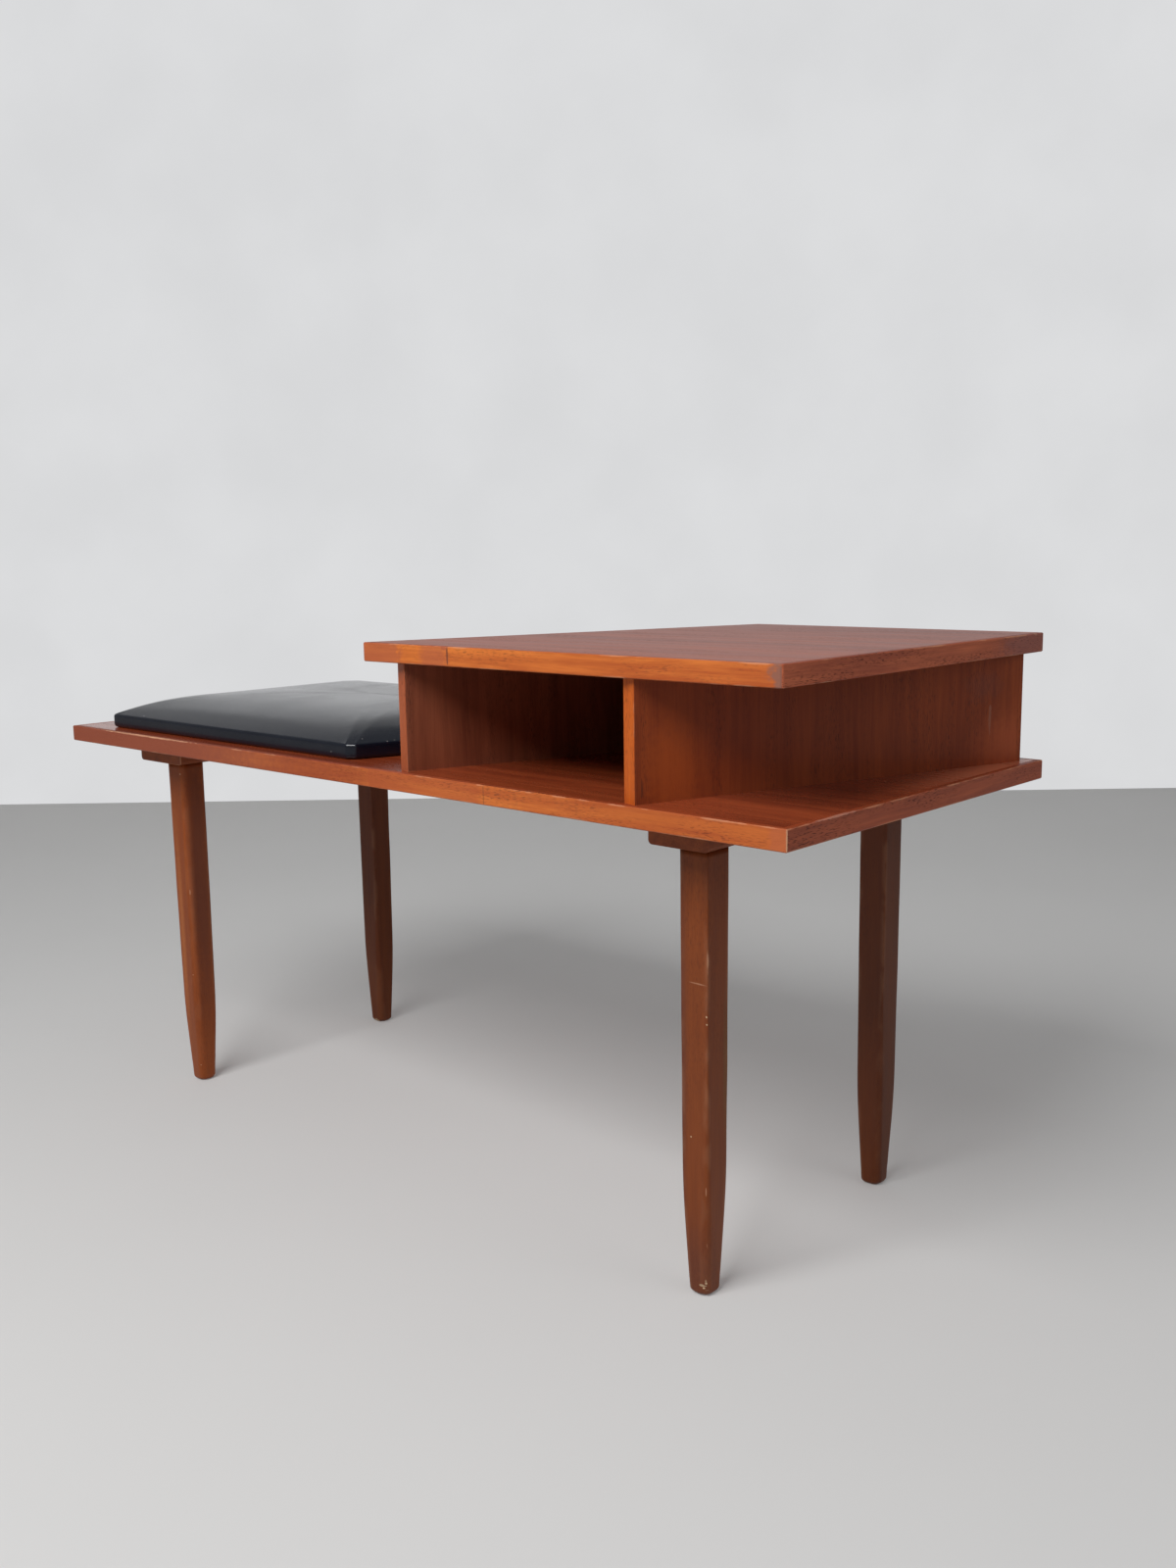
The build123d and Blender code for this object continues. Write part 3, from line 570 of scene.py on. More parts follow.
def vinyl_material(piece, name):
    """Black upholstery vinyl: a fine leather grain, slow waves, rubbed patches and a few pale specks."""
    vinyl = bpy.context.scene.bench_finish.vinyl
    material, tree, shader, place = new_material(name)
    inputs = {"Vector": place["Object"], "Scale": 900.0, "Randomness": 1.0}
    cells = add_node(tree, "ShaderNodeTexVoronoi", inputs, feature="DISTANCE_TO_EDGE").outputs["Distance"]
    grain = between(tree, cells, 0.0, 0.12)
    waves = noise(tree, place["Object"], (22.0, 22.0, 22.0), 3.0)
    rubbed_and_sheen = between(tree, noise(tree, place["Object"], (14.0, 9.0, 14.0), 4.0, 0.6), 0.4, 0.72)
    specks = between(tree, noise(tree, place["Object"], (260.0, 260.0, 260.0), 1.0), 0.765, 0.80)
    dusty = blend_colours(tree, math(tree, "MULTIPLY", rubbed_and_sheen, 0.08), vinyl, (0.03, 0.036, 0.046, 1))
    dotted = blend_colours(tree, math(tree, "MULTIPLY", specks, 0.4), dusty, (0.36, 0.33, 0.30, 1))
    surface, dullness = add_marks(tree, place, piece, dotted, between(tree, rubbed_and_sheen, 0.0, 1.0, 0.13, 0.19))
    height = math(tree, "ADD", math(tree, "MULTIPLY", grain, 0.12), waves)
    finish_surface(tree, shader, surface, dullness, height, 0.0002, 0.5)
    return material


def foam_material(name):
    """Aged upholstery foam: small open cells, yellower in patches."""
    foam = bpy.context.scene.bench_finish.foam
    material, tree, shader, place = new_material(name)
    inputs = {"Vector": place["Object"], "Scale": 700.0}
    cells = add_node(tree, "ShaderNodeTexVoronoi", inputs).outputs["Distance"]
    patches = noise(tree, place["Object"], (18.0, 18.0, 18.0), 3.0)
    surface = blend_colours(tree, patches, foam, (0.55, 0.36, 0.13, 1))
    finish_surface(tree, shader, surface, between(tree, cells, 0.0, 0.6, 0.8, 1.0), cells, 0.0006, 0.8)
    return material


def dress(node, material):
    """Gives a CAD node its material and keeps its mesh as it is."""
    slots = NODES[node].data.materials
    slots.clear()
    slots.append(material)


def dress_in_teak(node, axes, tones, **looks):
    """Gives a CAD node its own teak."""
    dress(node, teak_material(node, axes, tones, **looks))


# ---------------------------------------------------------------- surfaces


def link_object(name, data):
    """An object in the scene's own collection."""
    item = bpy.data.objects.new(name, data)
    bpy.context.scene.collection.objects.link(item)
    return item


def ring_mesh(name, grid, closed_ends, order=1):
    """A mesh from a grid of rings: neighbouring rings are joined by quads, and each closed end, 0 for the
    first ring and -1 for the last, by a fan to its middle. order is -1 to turn the faces round."""
    rows, columns = grid.shape[:2]
    number = np.arange(rows * columns).reshape(rows, columns)
    ahead = np.roll(number, -1, 1)
    parts = [np.stack([number[:-1], ahead[:-1], ahead[1:], number[1:]], -1).reshape(-1, 4)]
    points = [grid.reshape(-1, 3)]
    for count, end in enumerate(closed_ends):
        pair = (number[end], ahead[end]) if end else (ahead[end], number[end])
        parts.append(np.stack([*pair, np.full(columns, rows * columns + count)], -1))
        points.append(grid[end].mean(0)[None])
    faces = sum((part[:, ::order].tolist() for part in parts), [])
    mesh = bpy.data.meshes.new(name)
    mesh.from_pydata(np.concatenate(points).tolist(), [], faces)
    return mesh


def lay_surface(name, grid, material, node, arris=None):
    """A closed piece from a grid of rings, in the place of a CAD node. arris gives how much of a sharp
    corner each grid point is."""
    mesh = ring_mesh(name, grid, (0, -1))
    if arris is not None:
        layer = mesh.attributes.new("arris", "FLOAT", "POINT")
        closed = np.concatenate([arris.ravel(), [arris[0].mean()], [arris[-1].mean()]])
        layer.data.foreach_set("value", closed.astype(np.float32))
    mesh.shade_smooth()
    mesh.materials.append(material)
    piece = link_object(name, mesh)
    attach(piece, "root")
    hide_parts(node)
    return piece


def slow_waves(x, y, z, seed):
    """A smooth uneven value from -1 to 1: the mean of five sine waves in fixed directions."""
    turns = seed + np.arange(5) * 2.4
    total = 0
    for turn in turns:
        steep = x * (21 + 9 * sin(turn)) + y * (17 + 11 * cos(turn)) + z * (14 + 6 * sin(2 * turn))
        total = total + np.sin(steep + 7 * turn)
    return total / len(turns)


def leg_widths(heights, legs):
    """Width of the square leg at each height: two straight tapers, joined by a parabola at the knee."""
    lower = (legs.knee_width - legs.foot_width) / legs.knee_height
    upper = (legs.top_width - legs.knee_width) / (LEG_TOP - legs.knee_height)
    above = heights - legs.knee_height
    straight = legs.knee_width + np.where(above < 0, lower, upper) * above
    sag = (lower - upper) * (above**2 + legs.knee_blend**2) / (4 * legs.knee_blend)
    curved = legs.knee_width + (lower + upper) / 2 * above - sag
    return np.where(np.abs(above) < legs.knee_blend, curved, straight)


def leg_surface(centre, second_radius, legs, seed):
    """Rings of a rounded square, one for each height, then the round tenon.

    Each corner is a quarter circle of its own radius, and each side the straight line between two of
    them. The front left and back right corners are a pair, and so are the other two, whose radius in the
    square part is second_radius; below it the radii grow in a straight line down to the foot's. The foot
    is rounded by a quarter circle in height, and slow waves wear its corners and sides. Returns the grid
    and how much of an arris each point is.
    """
    foot_rings, shaft_rings, arc_points, side_points = 10, 76, 7, 6
    corner_wear, rub_depth, chip_depth, chip_height = 0.2, 0.00012, 0.0022, 0.006
    foot = legs.foot_radius * (1 - np.cos(np.linspace(0, pi / 2, foot_rings)))
    heights = np.concatenate([foot[:-1], np.linspace(legs.foot_radius, LEG_TOP, shaft_rings)])
    left = np.clip(1 - heights / legs.foot_radius, 0, 1)
    halves = leg_widths(heights, legs) / 2 - legs.foot_radius * (1 - np.sqrt(1 - left**2))
    halves[-1] = legs.top_width / 2
    corners = np.array([(1, 1), (-1, 1), (-1, -1), (1, -1)], float)
    first_pair = corners[:, 0] * corners[:, 1] > 0
    worn = 1 + corner_wear * slow_waves(heights[:, None] * 3, np.arange(4)[None] * 0.31, 0, seed)
    upper = np.where(first_pair[None], legs.arris_radius, second_radius) * worn
    lower = np.where(first_pair[None], legs.foot_arris, legs.foot_corner)
    share = np.clip(heights / legs.square_height, 0, 1)[:, None]
    radii = np.minimum(lower + (upper - lower) * share, halves[:, None] * 0.96)
    angles = np.arange(4)[:, None] * pi / 2 + np.linspace(0, pi / 2, arc_points)[None]
    middles = corners[None] * (halves[:, None, None] - radii[..., None])
    turning = np.stack([np.cos(angles), np.sin(angles)], -1)[None]
    arcs = middles[:, :, None] + radii[..., None, None] * turning
    share = np.linspace(0, 1, side_points + 2)[1:-1][None, None, :, None]
    sides = arcs[:, :, -1:] * (1 - share) + np.roll(arcs, -1, 1)[:, :, :1] * share
    ring = np.concatenate([arcs, sides], 2).reshape(len(heights), -1, 2)
    at_arris = np.concatenate([np.ones(arc_points), np.zeros(side_points)])
    keen = np.clip(2.4 * MM / radii, 0, 1)
    arris = (keen[:, :, None] * at_arris[None, None]).reshape(len(heights), -1)
    level = np.repeat(heights[:, None], ring.shape[1], 1)
    rubbed_and_sheen = slow_waves(ring[..., 0] * 6, ring[..., 1] * 6, level * 4, seed + 1) * rub_depth
    near_foot = np.exp(-level / chip_height) * (0.35 + 0.65 * arris)
    chipped = np.maximum(slow_waves(ring[..., 0] * 40, ring[..., 1] * 40, level * 20, seed + 2), 0)
    pull = 1 + (rubbed_and_sheen - near_foot * chipped * chip_depth) / np.maximum(halves[:, None], 0.004)
    pull[-1] = 1
    grid = np.concatenate([ring * pull[..., None], level[..., None]], -1)
    spin = np.arctan2(ring[-1, :, 1], ring[-1, :, 0])
    round_ring = np.stack([np.cos(spin), np.sin(spin)], -1) * legs.tenon_diameter / 2
    tenon_top = LEG_TOP + legs.tenon_length
    tenon = [
        np.concatenate([round_ring * scale, np.full((len(spin), 1), height)], 1)
        for scale, height in ((1, LEG_TOP), (1, tenon_top - MM), (0.88, tenon_top))
    ]
    arris = np.clip(arris + np.maximum(chipped * near_foot * 2 - 0.35, 0), 0, 1)
    arris = np.concatenate([arris, np.zeros((len(tenon), arris.shape[1]))])
    return np.concatenate([grid, np.array(tenon)]) + np.array([centre[0], centre[1], 0.0]), arris


def inset_corners(corners, run):
    """The outline's corners moved inwards: each goes along the sum of its two sides' inward normals."""
    arriving = corners - np.roll(corners, 1, 0)
    arriving = arriving / np.linalg.norm(arriving, axis=1)[:, None]
    leaving = np.roll(arriving, -1, 0)
    turned = np.stack([-arriving[:, 1] - leaving[:, 1], arriving[:, 0] + leaving[:, 0]], -1)
    inward = turned / (1 + (arriving * leaving).sum(1))[:, None]
    return corners[None] + inward[None] * run[:, None, None], arriving, leaving


def pad_section(sizes):
    """Inset and height of each ring of the cover's outer face, from the crown's middle to the turned
    in edge, and how far each ring is shrunk to the middle. The crown is side + crown * tanh(inset /
    reach); its edge and the lower edge are rounded by short curves."""
    middle_run, flat_run, near_run = 0.183, 0.130, 0.03
    shrink = np.linspace(0.04, 1, 16) ** 0.8
    far = middle_run - (middle_run - flat_run) * shrink
    shoulder = np.linspace(near_run, sizes.edge_roll, 11)[1:]
    runs = np.concatenate([np.linspace(flat_run, near_run, 26)[1:], shoulder])
    inner_heights, heights = [
        sizes.side_height + sizes.crown * np.tanh(inset / sizes.crown_reach) for inset in (far, runs)
    ]
    turn = np.linspace(0, 1, 8)[1:]
    edge_runs = runs[-1] * (1 - turn) ** 2
    low = sizes.side_height - sizes.edge_roll
    edge_heights = heights[-1] * (1 - turn) ** 2 + 2 * turn * (1 - turn) * sizes.side_height + low * turn**2
    side_heights = np.linspace(low, sizes.lower_roll, 5)[1:]
    sweep = np.linspace(0, pi / 2, 6)[1:]
    roll_runs = sizes.lower_roll * (1 - np.cos(sweep))
    roll_heights = sizes.lower_roll * (1 - np.sin(sweep))
    flap_runs = np.linspace(sizes.lower_roll, sizes.turn_in, 6)[1:]
    all_runs = [np.full(len(shrink), flat_run), runs, edge_runs, 0 * side_heights, roll_runs, flap_runs]
    all_heights = [inner_heights, heights, edge_heights, side_heights, roll_heights, 0 * flap_runs]
    all_runs = np.concatenate(all_runs)
    shrinks = np.concatenate([shrink, np.ones(len(all_runs) - len(shrink))])
    return all_runs, np.concatenate(all_heights), shrinks


def pad_rings(corners, runs, heights, shrinks, cut):
    """Rings of the pad: the outline inset by a run, with a facet across each corner whose two ends are
    rounded by short parabolas. The first rings are shrunk towards the pad's middle."""
    facet_points, side_points = 3, 56
    places, arriving, leaving = inset_corners(corners, runs)
    cuts = (cut + 0.1 * runs)[:, None, None]
    turns = np.stack([places - arriving[None] * cuts, places + leaving[None] * cuts], 2)
    turns = turns.reshape(len(runs), -1, 2)
    side = np.roll(turns, -1, 1) - turns
    reach = np.linalg.norm(side, axis=2)[..., None]
    onward = side / reach
    soft = np.minimum(0.0014 + 0.05 * runs[:, None, None], reach * 0.4)
    start = turns - np.roll(onward, 1, 1) * np.minimum(soft, np.roll(reach, 1, 1) * 0.4)
    end = turns + onward * soft
    bend = np.linspace(0, 1, 6)[None, None, :, None]
    curves = start[:, :, None] * (1 - bend) ** 2
    curves = curves + 2 * bend * (1 - bend) * turns[:, :, None] + end[:, :, None] * bend**2
    ring = []
    for index in range(turns.shape[1]):
        count = side_points if index % 2 else facet_points
        share = np.linspace(0, 1, count + 2)[1:-1][None, :, None]
        following = start[:, [(index + 1) % turns.shape[1]]]
        ring += [curves[:, index], end[:, [index]] * (1 - share) + following * share]
    ring = np.concatenate(ring, 1)
    middle = ring.mean(1, keepdims=True)
    ring = middle + (ring - middle) * shrinks[:, None, None]
    return np.concatenate([ring, np.repeat(heights[:, None], ring.shape[1], 1)[..., None]], -1)


def outward_normals(grid):
    """Normals of a grid of rings: the cross product of its two central differences."""
    along = np.roll(grid, -1, 1) - np.roll(grid, 1, 1)
    down = np.gradient(grid, axis=0)
    normal = np.cross(down, along)
    return normal / np.maximum(np.linalg.norm(normal, axis=2), 1e-12)[..., None]


def screw_surface(centre, base, length, shank, head):
    """A countersunk wood screw pointing up: a slotted disc, a cone, a threaded shank and a tip.

    The disc is a set of straight lines parallel to the slot, cut off by the circle; the ring of their
    ends goes on as the cone and the shank. The shank's radius is its core plus a ridge that rises once
    every pitch and turn.
    """
    slot_half, slot_depth, pitch, ridge_height, tip = 0.0006, 0.0011, 0.0018, 0.0006, 0.007
    across = head * np.sin(np.linspace(-pi / 2, pi / 2, 15))
    inner = np.array([-slot_half * 1.02, -slot_half, slot_half, slot_half * 1.02])
    across = np.sort(np.concatenate([across[np.abs(across) > slot_half * 1.5], inner]))
    half = np.sqrt(np.maximum(head**2 - across**2, 0))
    low = np.stack([across, -half], -1)
    high = np.stack([across, half], -1)[::-1][1:-1]
    rim = np.concatenate([low, high])
    depth = np.where(np.abs(rim[:, 0]) <= slot_half * 1.001, slot_depth, 0.0)[:, None]
    angle = np.arctan2(rim[:, 1], rim[:, 0])
    around = np.stack([np.cos(angle), np.sin(angle)], -1)
    disc = [np.concatenate([rim * np.array([1.0, share]), depth], 1) for share in (0.02, 0.35, 0.7, 1.0)]
    heights = np.linspace(head - shank, length, 120)[:, None]
    taper = np.clip((length - heights) / tip, 0.04, 1)
    threaded = heights > length * 0.35
    wave = (heights / pitch - angle[None] / (2 * pi)) % 1
    ridge = np.clip(1 - np.abs(wave - 0.5) * 5, 0, 1)
    radius = (shank + (ridge - 1) * ridge_height * threaded) * taper
    cone_top = np.maximum(depth, 0.0003)
    cone = np.concatenate([around * (head - cone_top), cone_top], 1)
    level = np.repeat(heights, len(angle), 1)
    shaft = np.concatenate([around[None] * radius[..., None], level[..., None]], -1)
    return np.concatenate([np.array(disc), cone[None], shaft]) + np.array([centre[0], centre[1], base])


def build_screws(node, label, material):
    """Replaces a CAD node of plain screws by slotted ones at the same places."""
    head_level, apart, shank, head = 0.0002, 0.02, 0.002, 0.004
    points = points_of(node)
    base, top = points[:, 2].min(), points[:, 2].max()
    heads = points[points[:, 2] < base + head_level]
    number = 0
    while len(heads):
        number += 1
        near = np.hypot(*(heads - heads[0])[:, :2].T) < apart
        centre = (heads[near].max(0) + heads[near].min(0)) / 2
        grid = screw_surface(centre, base, top - base, shank, head)
        lay_surface(f"{label}_{number}", grid, material, node)
        heads = heads[~near]


# ---------------------------------------------------------------- operators


class BENCH_OT_boards(bpy.types.Operator):
    """Finish the seat board and the shelf top: veneers, lippings and cores"""

    bl_idname = "bench.finish_boards"
    bl_label = "Finish Boards"

    def execute(self, context):
        finish = context.scene.bench_finish
        tops = (finish.veneer_light, finish.veneer_dark)
        lippings = (finish.lipping_light, finish.lipping_dark)
        # darker copies of the lipping tones for the right ends: painted shade on the faces turned from the
        # light, a little bluer for painted sheen
        shade_and_sheen_tones = {
            "shelf_right_lipping": ((0.58, 0.154, 0.067, 1), (0.33, 0.075, 0.036, 1)),
            "base_right_lipping": ((0.42, 0.100, 0.043, 1), (0.24, 0.050, 0.025, 1)),
        }
        directions = {"front": ALONG_X, "right": ALONG_Y, "back": ALONG_X, "left": ALONG_Y}
        for seed, board in enumerate(("base", "shelf")):
            members = [f"{board}_{side}_lipping" for side in directions]
            for number, (name, side) in enumerate(zip(members, directions)):
                dress_in_teak(
                    name,
                    ALONG_SLANT if name == "shelf_left_lipping" else directions[side],
                    shade_and_sheen_tones.get(name, lippings),
                    seed=3.1 + seed * 1.9 + number * 0.77,
                    roughness=0.42,
                    specular=0.22 if side == "right" else 0.35,
                    figure=0.5,
                    streaks=0.7,
                    pores=0.5 if name == "shelf_front_lipping" else 0.7,
                    worn=members,
                    flanks=((0.0, 0.0, 1.0), tops),
                )
            dress(f"{board}_core", board_core_material(f"{board}_blockboard", seed * 5.0))
        dress_in_teak("base_top_veneer", ALONG_X, tops, seed=0.7, roughness=0.16, specular=0.4)
        dress_in_teak("base_bottom_veneer", ALONG_X, tops, seed=5.3, roughness=0.55, specular=0.3)
        dress_in_teak("shelf_top_veneer", ALONG_X, tops, seed=2.9, roughness=0.36, specular=0.4)
        dress_in_teak("shelf_under_veneer", ALONG_X, tops, seed=7.7, roughness=0.45, specular=0.3)
        return {"FINISHED"}


class BENCH_OT_compartment(bpy.types.Operator):
    """Finish the compartment: its two uprights, its back panel and the hidden tongues"""

    bl_idname = "bench.finish_compartment"
    bl_label = "Finish Compartment"

    def execute(self, context):
        finish = context.scene.bench_finish
        panel = (finish.panel_light, finish.panel_dark)
        shaded = ((0.28, 0.080, 0.038, 1), (0.15, 0.038, 0.019, 1))
        # greyer, paler tones for the back panel deep in the compartment: painted haze in its shade
        hidden = ((0.36, 0.160, 0.110, 1), (0.24, 0.100, 0.068, 1))
        lippings = {
            "left": ((0.44, 0.105, 0.032, 1), (0.28, 0.056, 0.018, 1)),
            "right": ((0.62, 0.135, 0.014, 1), (0.42, 0.072, 0.009, 1)),
        }
        facing = (cos(SLANT), -sin(SLANT), 0.0)
        for number, side in enumerate(("left", "right")):
            upright = f"{side}_upright"
            members = [f"{upright}_{part}" for part in ("core", "front_lipping", "back_lipping")]
            for count, name in enumerate((f"{upright}_left_veneer", f"{upright}_right_veneer")):
                dress_in_teak(
                    name,
                    UP_SLANTED,
                    shaded if name == "left_upright_right_veneer" else panel,
                    seed=11.3 + number * 2.3 + count * 1.1,
                    roughness=0.36,
                    specular=0.25,
                    figure=0.35,
                    streaks=0.45,
                )
            for count, name in enumerate(members[1:]):
                dress_in_teak(
                    name,
                    UP_SLANTED,
                    lippings[side],
                    seed=17.9 + number * 1.3 + count * 0.7,
                    roughness=0.4,
                    specular=0.25,
                    figure=0.4,
                    worn=members,
                    wear_width=0.0008,
                    wear_share=0.2,
                    flanks=(facing, shaded if side == "left" else panel),
                )
            dress(f"{upright}_core", board_core_material(f"{upright}_blockboard", 3.0 + number))
        dress_in_teak("back_panel", ALONG_X, hidden, seed=23.7, roughness=0.45, specular=0.3)
        for name in ("left_upright", "right_upright", "back_panel"):
            dress(f"{name}_tongues", board_core_material(f"{name}_tongue_plywood", 8.0))
        return {"FINISHED"}


class BENCH_OT_legs(bpy.types.Operator):
    """Build the four tapered legs from their sizes"""

    bl_idname = "bench.build_legs"
    bl_label = "Build Legs"

    def execute(self, context):
        legs = context.scene.bench_legs
        finish = context.scene.bench_finish
        figures = (finish.leg_light, finish.leg_dark)
        # each leg's figure brightened or darkened: painted light and shade, the back legs darkest where they
        # stand in the bench's shadow
        painted_light_and_shade = {"front_left": 1.12, "back_left": 0.55, "front_right": 0.80, "back_right": 0.50}
        for number, (corner, shade) in enumerate(painted_light_and_shade.items()):
            node = f"{corner}_leg"
            low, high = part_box(node)
            second_radius = legs.soft_radius if corner == "front_left" else legs.arris_radius
            grid, arris = leg_surface((low + high) / 2, second_radius, legs, seed=1.3 + number * 2.9)
            material = teak_material(
                node,
                ALONG_Z,
                [[part * shade for part in figure[:3]] + [1.0] for figure in figures],
                seed=29.1 + number * 1.7,
                roughness=0.38,
                specular=0.22,
                figure=0.35,
                streaks=0.4,
                pores=0.3,
                arris=0.09,
            )
            lay_surface(f"{corner}_tapered_leg", grid, material, node, arris)
        return {"FINISHED"}


class BENCH_OT_crossbars(bpy.types.Operator):
    """Finish the two crossbars and build their slotted screws"""

    bl_idname = "bench.build_crossbars"
    bl_label = "Build Crossbars"

    def execute(self, context):
        finish = context.scene.bench_finish
        steel = steel_material("crossbar_screw_steel")
        for number, name in enumerate(("left_crossbar", "right_crossbar")):
            dress_in_teak(
                name,
                ALONG_Y,
                (finish.bar_light, finish.bar_dark),
                seed=37.3 + number * 2.1,
                roughness=0.42,
                specular=0.25,
                figure=0.4,
                worn=[name],
                wear_width=0.0010,
                wear_share=0.35,
            )
            build_screws(f"{name}_screws", f"{name}_slotted_screw", steel)
        return {"FINISHED"}


def settle_cover(grid, heights, sizes):
    """Lets the vinyl settle as cloth over its stuffing, with its lower part held, and returns how far
    each point moved, no more than the cap."""
    rows, columns = grid.shape[:2]
    mesh = ring_mesh("cover_cloth", grid, (0,), order=-1)
    cloth_piece = link_object("cover_cloth", mesh)
    held = cloth_piece.vertex_groups.new(name="held")
    fixed = np.arange(rows * columns).reshape(rows, columns)[heights < sizes.side_height]
    held.add(fixed.ravel().tolist(), 1.0, "REPLACE")
    modifier = cloth_piece.modifiers.new("Cloth", "CLOTH")
    settings = modifier.settings
    settings.vertex_group_mass = "held"
    settings.effector_weights.gravity = 0.0
    settings.use_pressure = True
    settings.uniform_pressure_force = 0.4
    settings.tension_stiffness = settings.compression_stiffness = 12.0
    settings.shear_stiffness = 8.0
    settings.bending_stiffness = 0.6
    modifier.point_cache.frame_start = 1
    modifier.point_cache.frame_end = sizes.swell_steps
    scene = bpy.context.scene
    for step in range(1, sizes.swell_steps + 1):
        scene.frame_set(step)
    settled = cloth_piece.evaluated_get(bpy.context.evaluated_depsgraph_get()).data
    moved = np.zeros(grid.size + 3)
    settled.vertices.foreach_get("co", moved)
    moved = moved[:-3].reshape(rows, columns, 3) - grid
    scene.frame_set(1)
    bpy.data.objects.remove(cloth_piece)
    bpy.data.meshes.remove(mesh)
    reach = np.linalg.norm(moved, axis=2)[..., None]
    return moved * np.minimum(1, sizes.swell_cap / np.maximum(reach, 1e-9))


class BENCH_OT_pad(bpy.types.Operator):
    """Build the seat pad: the vinyl cover, the foam inside and the board under it"""

    bl_idname = "bench.build_pad"
    bl_label = "Build Seat Pad"

    def execute(self, context):
        sizes = context.scene.bench_pad
        low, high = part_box("pad_cover")
        back_right = high.x + sizes.corner_cut * sin(SLANT)
        front_right = back_right - (high.y - low.y) * tan(SLANT)
        corners = np.array([(low.x, low.y), (front_right, low.y), (back_right, high.y), (low.x, high.y)])
        runs, heights, shrinks = pad_section(sizes)
        outer = pad_rings(corners, runs, heights, shrinks, sizes.corner_cut)
        lift = np.clip(heights / sizes.side_height, 0, 1)[:, None]
        waves = slow_waves(outer[..., 0], outer[..., 1], outer[..., 2] * 2, 4.1) * sizes.unevenness
        outer = outer + outward_normals(outer) * (waves * lift)[..., None]
        outer = outer + settle_cover(outer, heights, sizes)
        normals = outward_normals(outer)
        inner = outer - normals * sizes.vinyl_thickness
        inner[..., 2] = np.maximum(inner[..., 2], sizes.vinyl_thickness)
        shell = np.concatenate([inner, outer[::-1]])
        shell[..., 2] += SEAT_TOP
        vinyl = vinyl_material("pad_vinyl_cover", "black_vinyl")
        cover = lay_surface("pad_vinyl_cover", shell, vinyl, "pad_cover")
        board_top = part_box("pad_board")[1].z - SEAT_TOP
        above = heights > board_top
        filling = outer[above] - normals[above] * (sizes.vinyl_thickness * 1.1)
        floor_ring = filling[-1:].copy()
        floor_ring[..., 2] = board_top
        filling = np.concatenate([filling, floor_ring])[::-1]
        filling[..., 2] += SEAT_TOP
        upholstery = foam_material("upholstery_foam")
        foam = lay_surface("pad_foam_filling", filling, upholstery, "pad_foam")
        dress("pad_board", board_core_material("pad_board_plywood", 12.0))
        dress("pad_staples", steel_material("staple_steel"))
        build_screws("pad_screws", "pad_slotted_screw", steel_material("pad_screw_steel"))
        return {"FINISHED"}


class BENCH_OT_stage(bpy.types.Operator):
    """Set the pale floor and wall, the lamps and the camera"""

    bl_idname = "bench.build_stage"
    bl_label = "Build Stage"

    def execute(self, context):
        stage = context.scene.bench_stage
        build_camera(stage.lens)
        floor_paint = stage_material("studio_floor_paint", stage.floor, 0.2, 0.70)
        wall_paint = stage_material("studio_wall_paint", stage.wall, 1.0, 0.6)
        floor = lay_sheet("studio_floor", floor_grid(), floor_paint)
        wall = lay_sheet("studio_wall", wall_grid(), wall_paint)
        world = bpy.data.worlds.new("background seen")
        context.scene.world = world
        world.use_nodes = True
        tree = world.node_tree
        direct = tree.nodes.new("ShaderNodeLightPath").outputs["Is Camera Ray"]
        inputs = {"Value": direct, "To Min": stage.ambient, "To Max": 1.0}
        strength = add_node(tree, "ShaderNodeMapRange", inputs).outputs[0]
        feed(tree, tree.nodes["Background"].inputs, {"Color": stage.wall, "Strength": strength})
        soft_lamp("key_lamp", (0.30, -1.75, 2.05), (0.10, 0.0, 0.35), 1.5, 1.0, stage.key_power)
        soft_lamp("fill_lamp", (2.3, 0.2, 1.5), (0.3, 0.0, 0.3), 1.2, 1.2, stage.fill_power)
        context.scene.view_settings.view_transform = "Standard"
        return {"FINISHED"}


def seen_directly(tree, height):
    """1 for rays from the camera, 0 for rays that carry light, and for rays that gloss or glass sends on
    1 up to 1.2 m above the floor and less above, where the studio is darker."""
    path = tree.nodes.new("ShaderNodeLightPath").outputs
    glossy = math(tree, "MAXIMUM", path["Is Glossy Ray"], path["Is Transmission Ray"])
    glossy = math(tree, "MULTIPLY", glossy, between(tree, height, 1.2, 1.62, 1.0, 0.3))
    return math(tree, "MAXIMUM", path["Is Camera Ray"], glossy)


def stage_material(name, tint, glow, paint):
    """Matt paint that lights the object as it is lit, and shows partly its own plain colour."""
    material, tree, shader, place = new_material(name)
    grain = noise(tree, place["Object"], (3.0, 3.0, 3.0), 4.0)
    plain = tinted(tree, tint, between(tree, grain, 0.2, 0.8, 0.97, 1.03))
    tree.nodes.remove(shader)
    matt = add_node(tree, "ShaderNodeBsdfDiffuse", {"Color": (paint, paint, paint * 0.99, 1)})
    glowing = add_node(tree, "ShaderNodeEmission", {"Color": plain, "Strength": 1.0})
    height = add_node(tree, "ShaderNodeSeparateXYZ", {0: place["Object"]}).outputs["Z"]
    share = math(tree, "MULTIPLY", seen_directly(tree, height), glow)
    mixed = add_node(tree, "ShaderNodeMixShader", {0: share, 1: matt.outputs[0], 2: glowing.outputs[0]})
    tree.links.new(mixed.outputs[0], tree.nodes["Material Output"].inputs["Surface"])
    return material


def floor_grid():
    """A level square."""
    x, y = np.meshgrid(np.linspace(-9, 9, 25), np.linspace(-9, 9, 25))
    return np.stack([x, y, np.zeros_like(x)], -1)


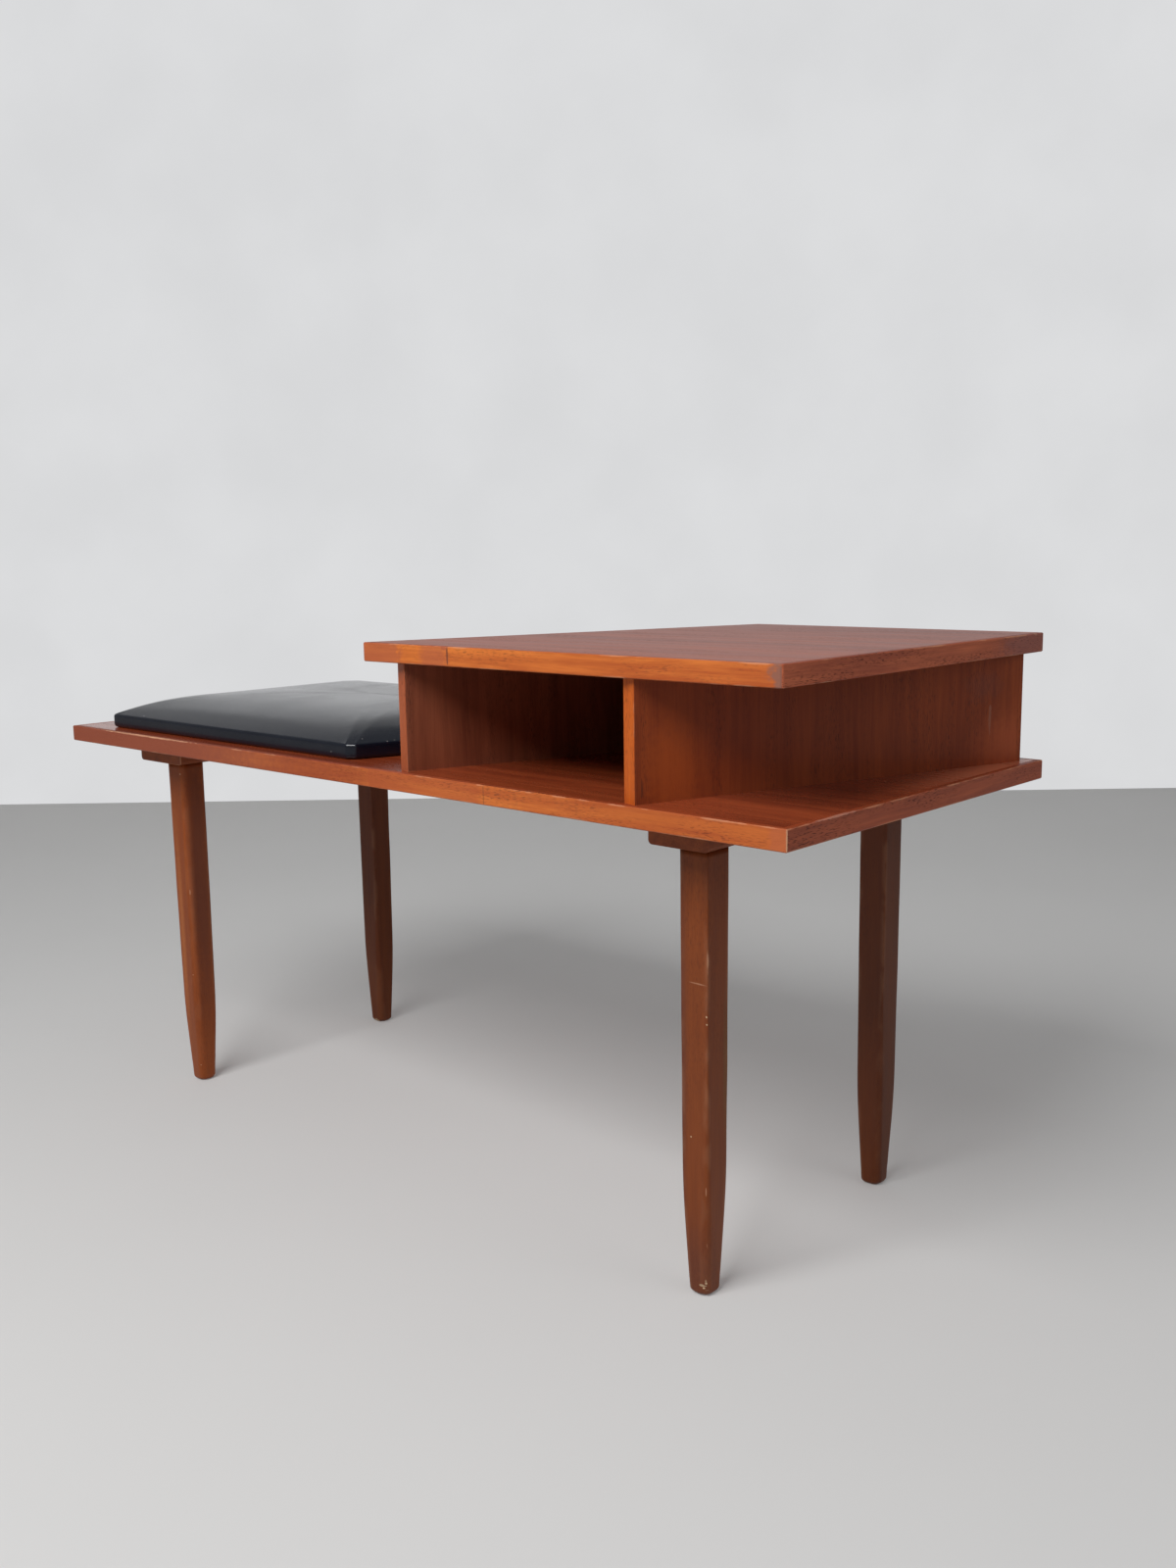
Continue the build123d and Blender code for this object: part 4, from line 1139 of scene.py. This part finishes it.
def wall_grid():
    """A wall across the camera's view, bent forward at its foot by a quarter circle."""
    eye, view, side = np.array([1.0435, -1.0092]), np.array([-0.673, 0.740]), np.array([0.740, 0.673])
    distance, bend, top, off_floor = 3.62, 0.12, 2.3, 0.0004
    turn = np.linspace(0, pi / 2, 12)
    depth = np.concatenate([distance - bend + bend * np.sin(turn), np.full(8, distance)])
    height = np.concatenate([bend * (1 - np.cos(turn)), np.linspace(bend, top, 9)[1:]]) + off_floor
    reach = np.linspace(-5, 5, 25)
    flat = eye + depth[:, None, None] * view + reach[None, :, None] * side
    return np.concatenate([flat, np.repeat(height[:, None], len(reach), 1)[..., None]], -1)


def lay_sheet(name, grid, material):
    """An open sheet from a grid of points."""
    number = np.arange(grid[..., 0].size).reshape(grid.shape[:2])
    quads = np.stack([number[:-1, :-1], number[:-1, 1:], number[1:, 1:], number[1:, :-1]], -1)
    mesh = bpy.data.meshes.new(name)
    mesh.from_pydata(grid.reshape(-1, 3).tolist(), [], quads.reshape(-1, 4).tolist())
    mesh.materials.append(material)
    mesh.shade_smooth()
    return link_object(name, mesh)


def soft_lamp(name, place, target, width, height, power):
    """A rectangular area lamp that looks at a target."""
    lamp = bpy.data.lights.new(name, "AREA")
    lamp.shape = "RECTANGLE"
    lamp.size, lamp.size_y = width, height
    lamp.energy = power
    holder = link_object(name, lamp)
    holder.location = place
    holder.rotation_euler = (Vector(target) - Vector(place)).to_track_quat("-Z", "Y").to_euler()


def build_camera(lens):
    """The camera at the photograph's place and angle."""
    yaw, pitch, roll = 0.738295794, 0.165457, -0.0142832
    forward = Vector((-sin(yaw) * cos(pitch), cos(yaw) * cos(pitch), -sin(pitch)))
    right = Vector((cos(yaw), sin(yaw), 0.0))
    up = right.cross(forward)
    tilted_right = cos(roll) * right + sin(roll) * up
    tilted_up = -sin(roll) * right + cos(roll) * up
    data = bpy.data.cameras.new("camera")
    data.sensor_width = 36.0
    data.lens = lens
    data.clip_start, data.clip_end = 0.05, 60.0
    camera = link_object("camera", data)
    turned = Matrix((tilted_right, tilted_up, -forward)).transposed().to_4x4()
    camera.matrix_world = Matrix.Translation((1.04346, -1.00923, 0.61643)) @ turned
    bpy.context.scene.camera = camera


# ---------------------------------------------------------------- panel and registration

OPERATORS = (
    BENCH_OT_stage,
    BENCH_OT_boards,
    BENCH_OT_compartment,
    BENCH_OT_legs,
    BENCH_OT_crossbars,
    BENCH_OT_pad,
)
GROUPS = {
    "bench_legs": BenchLegSizes,
    "bench_pad": BenchPadSizes,
    "bench_finish": BenchFinish,
    "bench_stage": BenchStage,
}


class BENCH_PT_sidebar(bpy.types.Panel):
    """Lists the bench's sizes, finishes and building steps"""

    bl_idname = "BENCH_PT_sidebar"
    bl_label = "Telephone Bench"
    bl_space_type = "VIEW_3D"
    bl_region_type = "UI"
    bl_category = "Telephone Bench"

    def draw(self, context):
        for name, group in GROUPS.items():
            box = self.layout.box()
            box.label(text=name.replace("_", " ").capitalize())
            for key in group.__annotations__:
                box.prop(getattr(context.scene, name), key)
        for operator in OPERATORS:
            self.layout.operator(operator.bl_idname)


def register():
    for item in (*GROUPS.values(), *OPERATORS, BENCH_PT_sidebar):
        bpy.utils.register_class(item)
    for name, group in GROUPS.items():
        setattr(bpy.types.Scene, name, PointerProperty(type=group))


def unregister():
    for name in GROUPS:
        delattr(bpy.types.Scene, name)
    for item in reversed((*GROUPS.values(), *OPERATORS, BENCH_PT_sidebar)):
        bpy.utils.unregister_class(item)


def main():
    """Builds the bench and its stage."""
    register()
    bpy.ops.bench.build_stage()
    bpy.ops.bench.finish_boards()
    bpy.ops.bench.finish_compartment()
    bpy.ops.bench.build_legs()
    bpy.ops.bench.build_crossbars()
    bpy.ops.bench.build_pad()


if __name__ == "__main__":
    main()
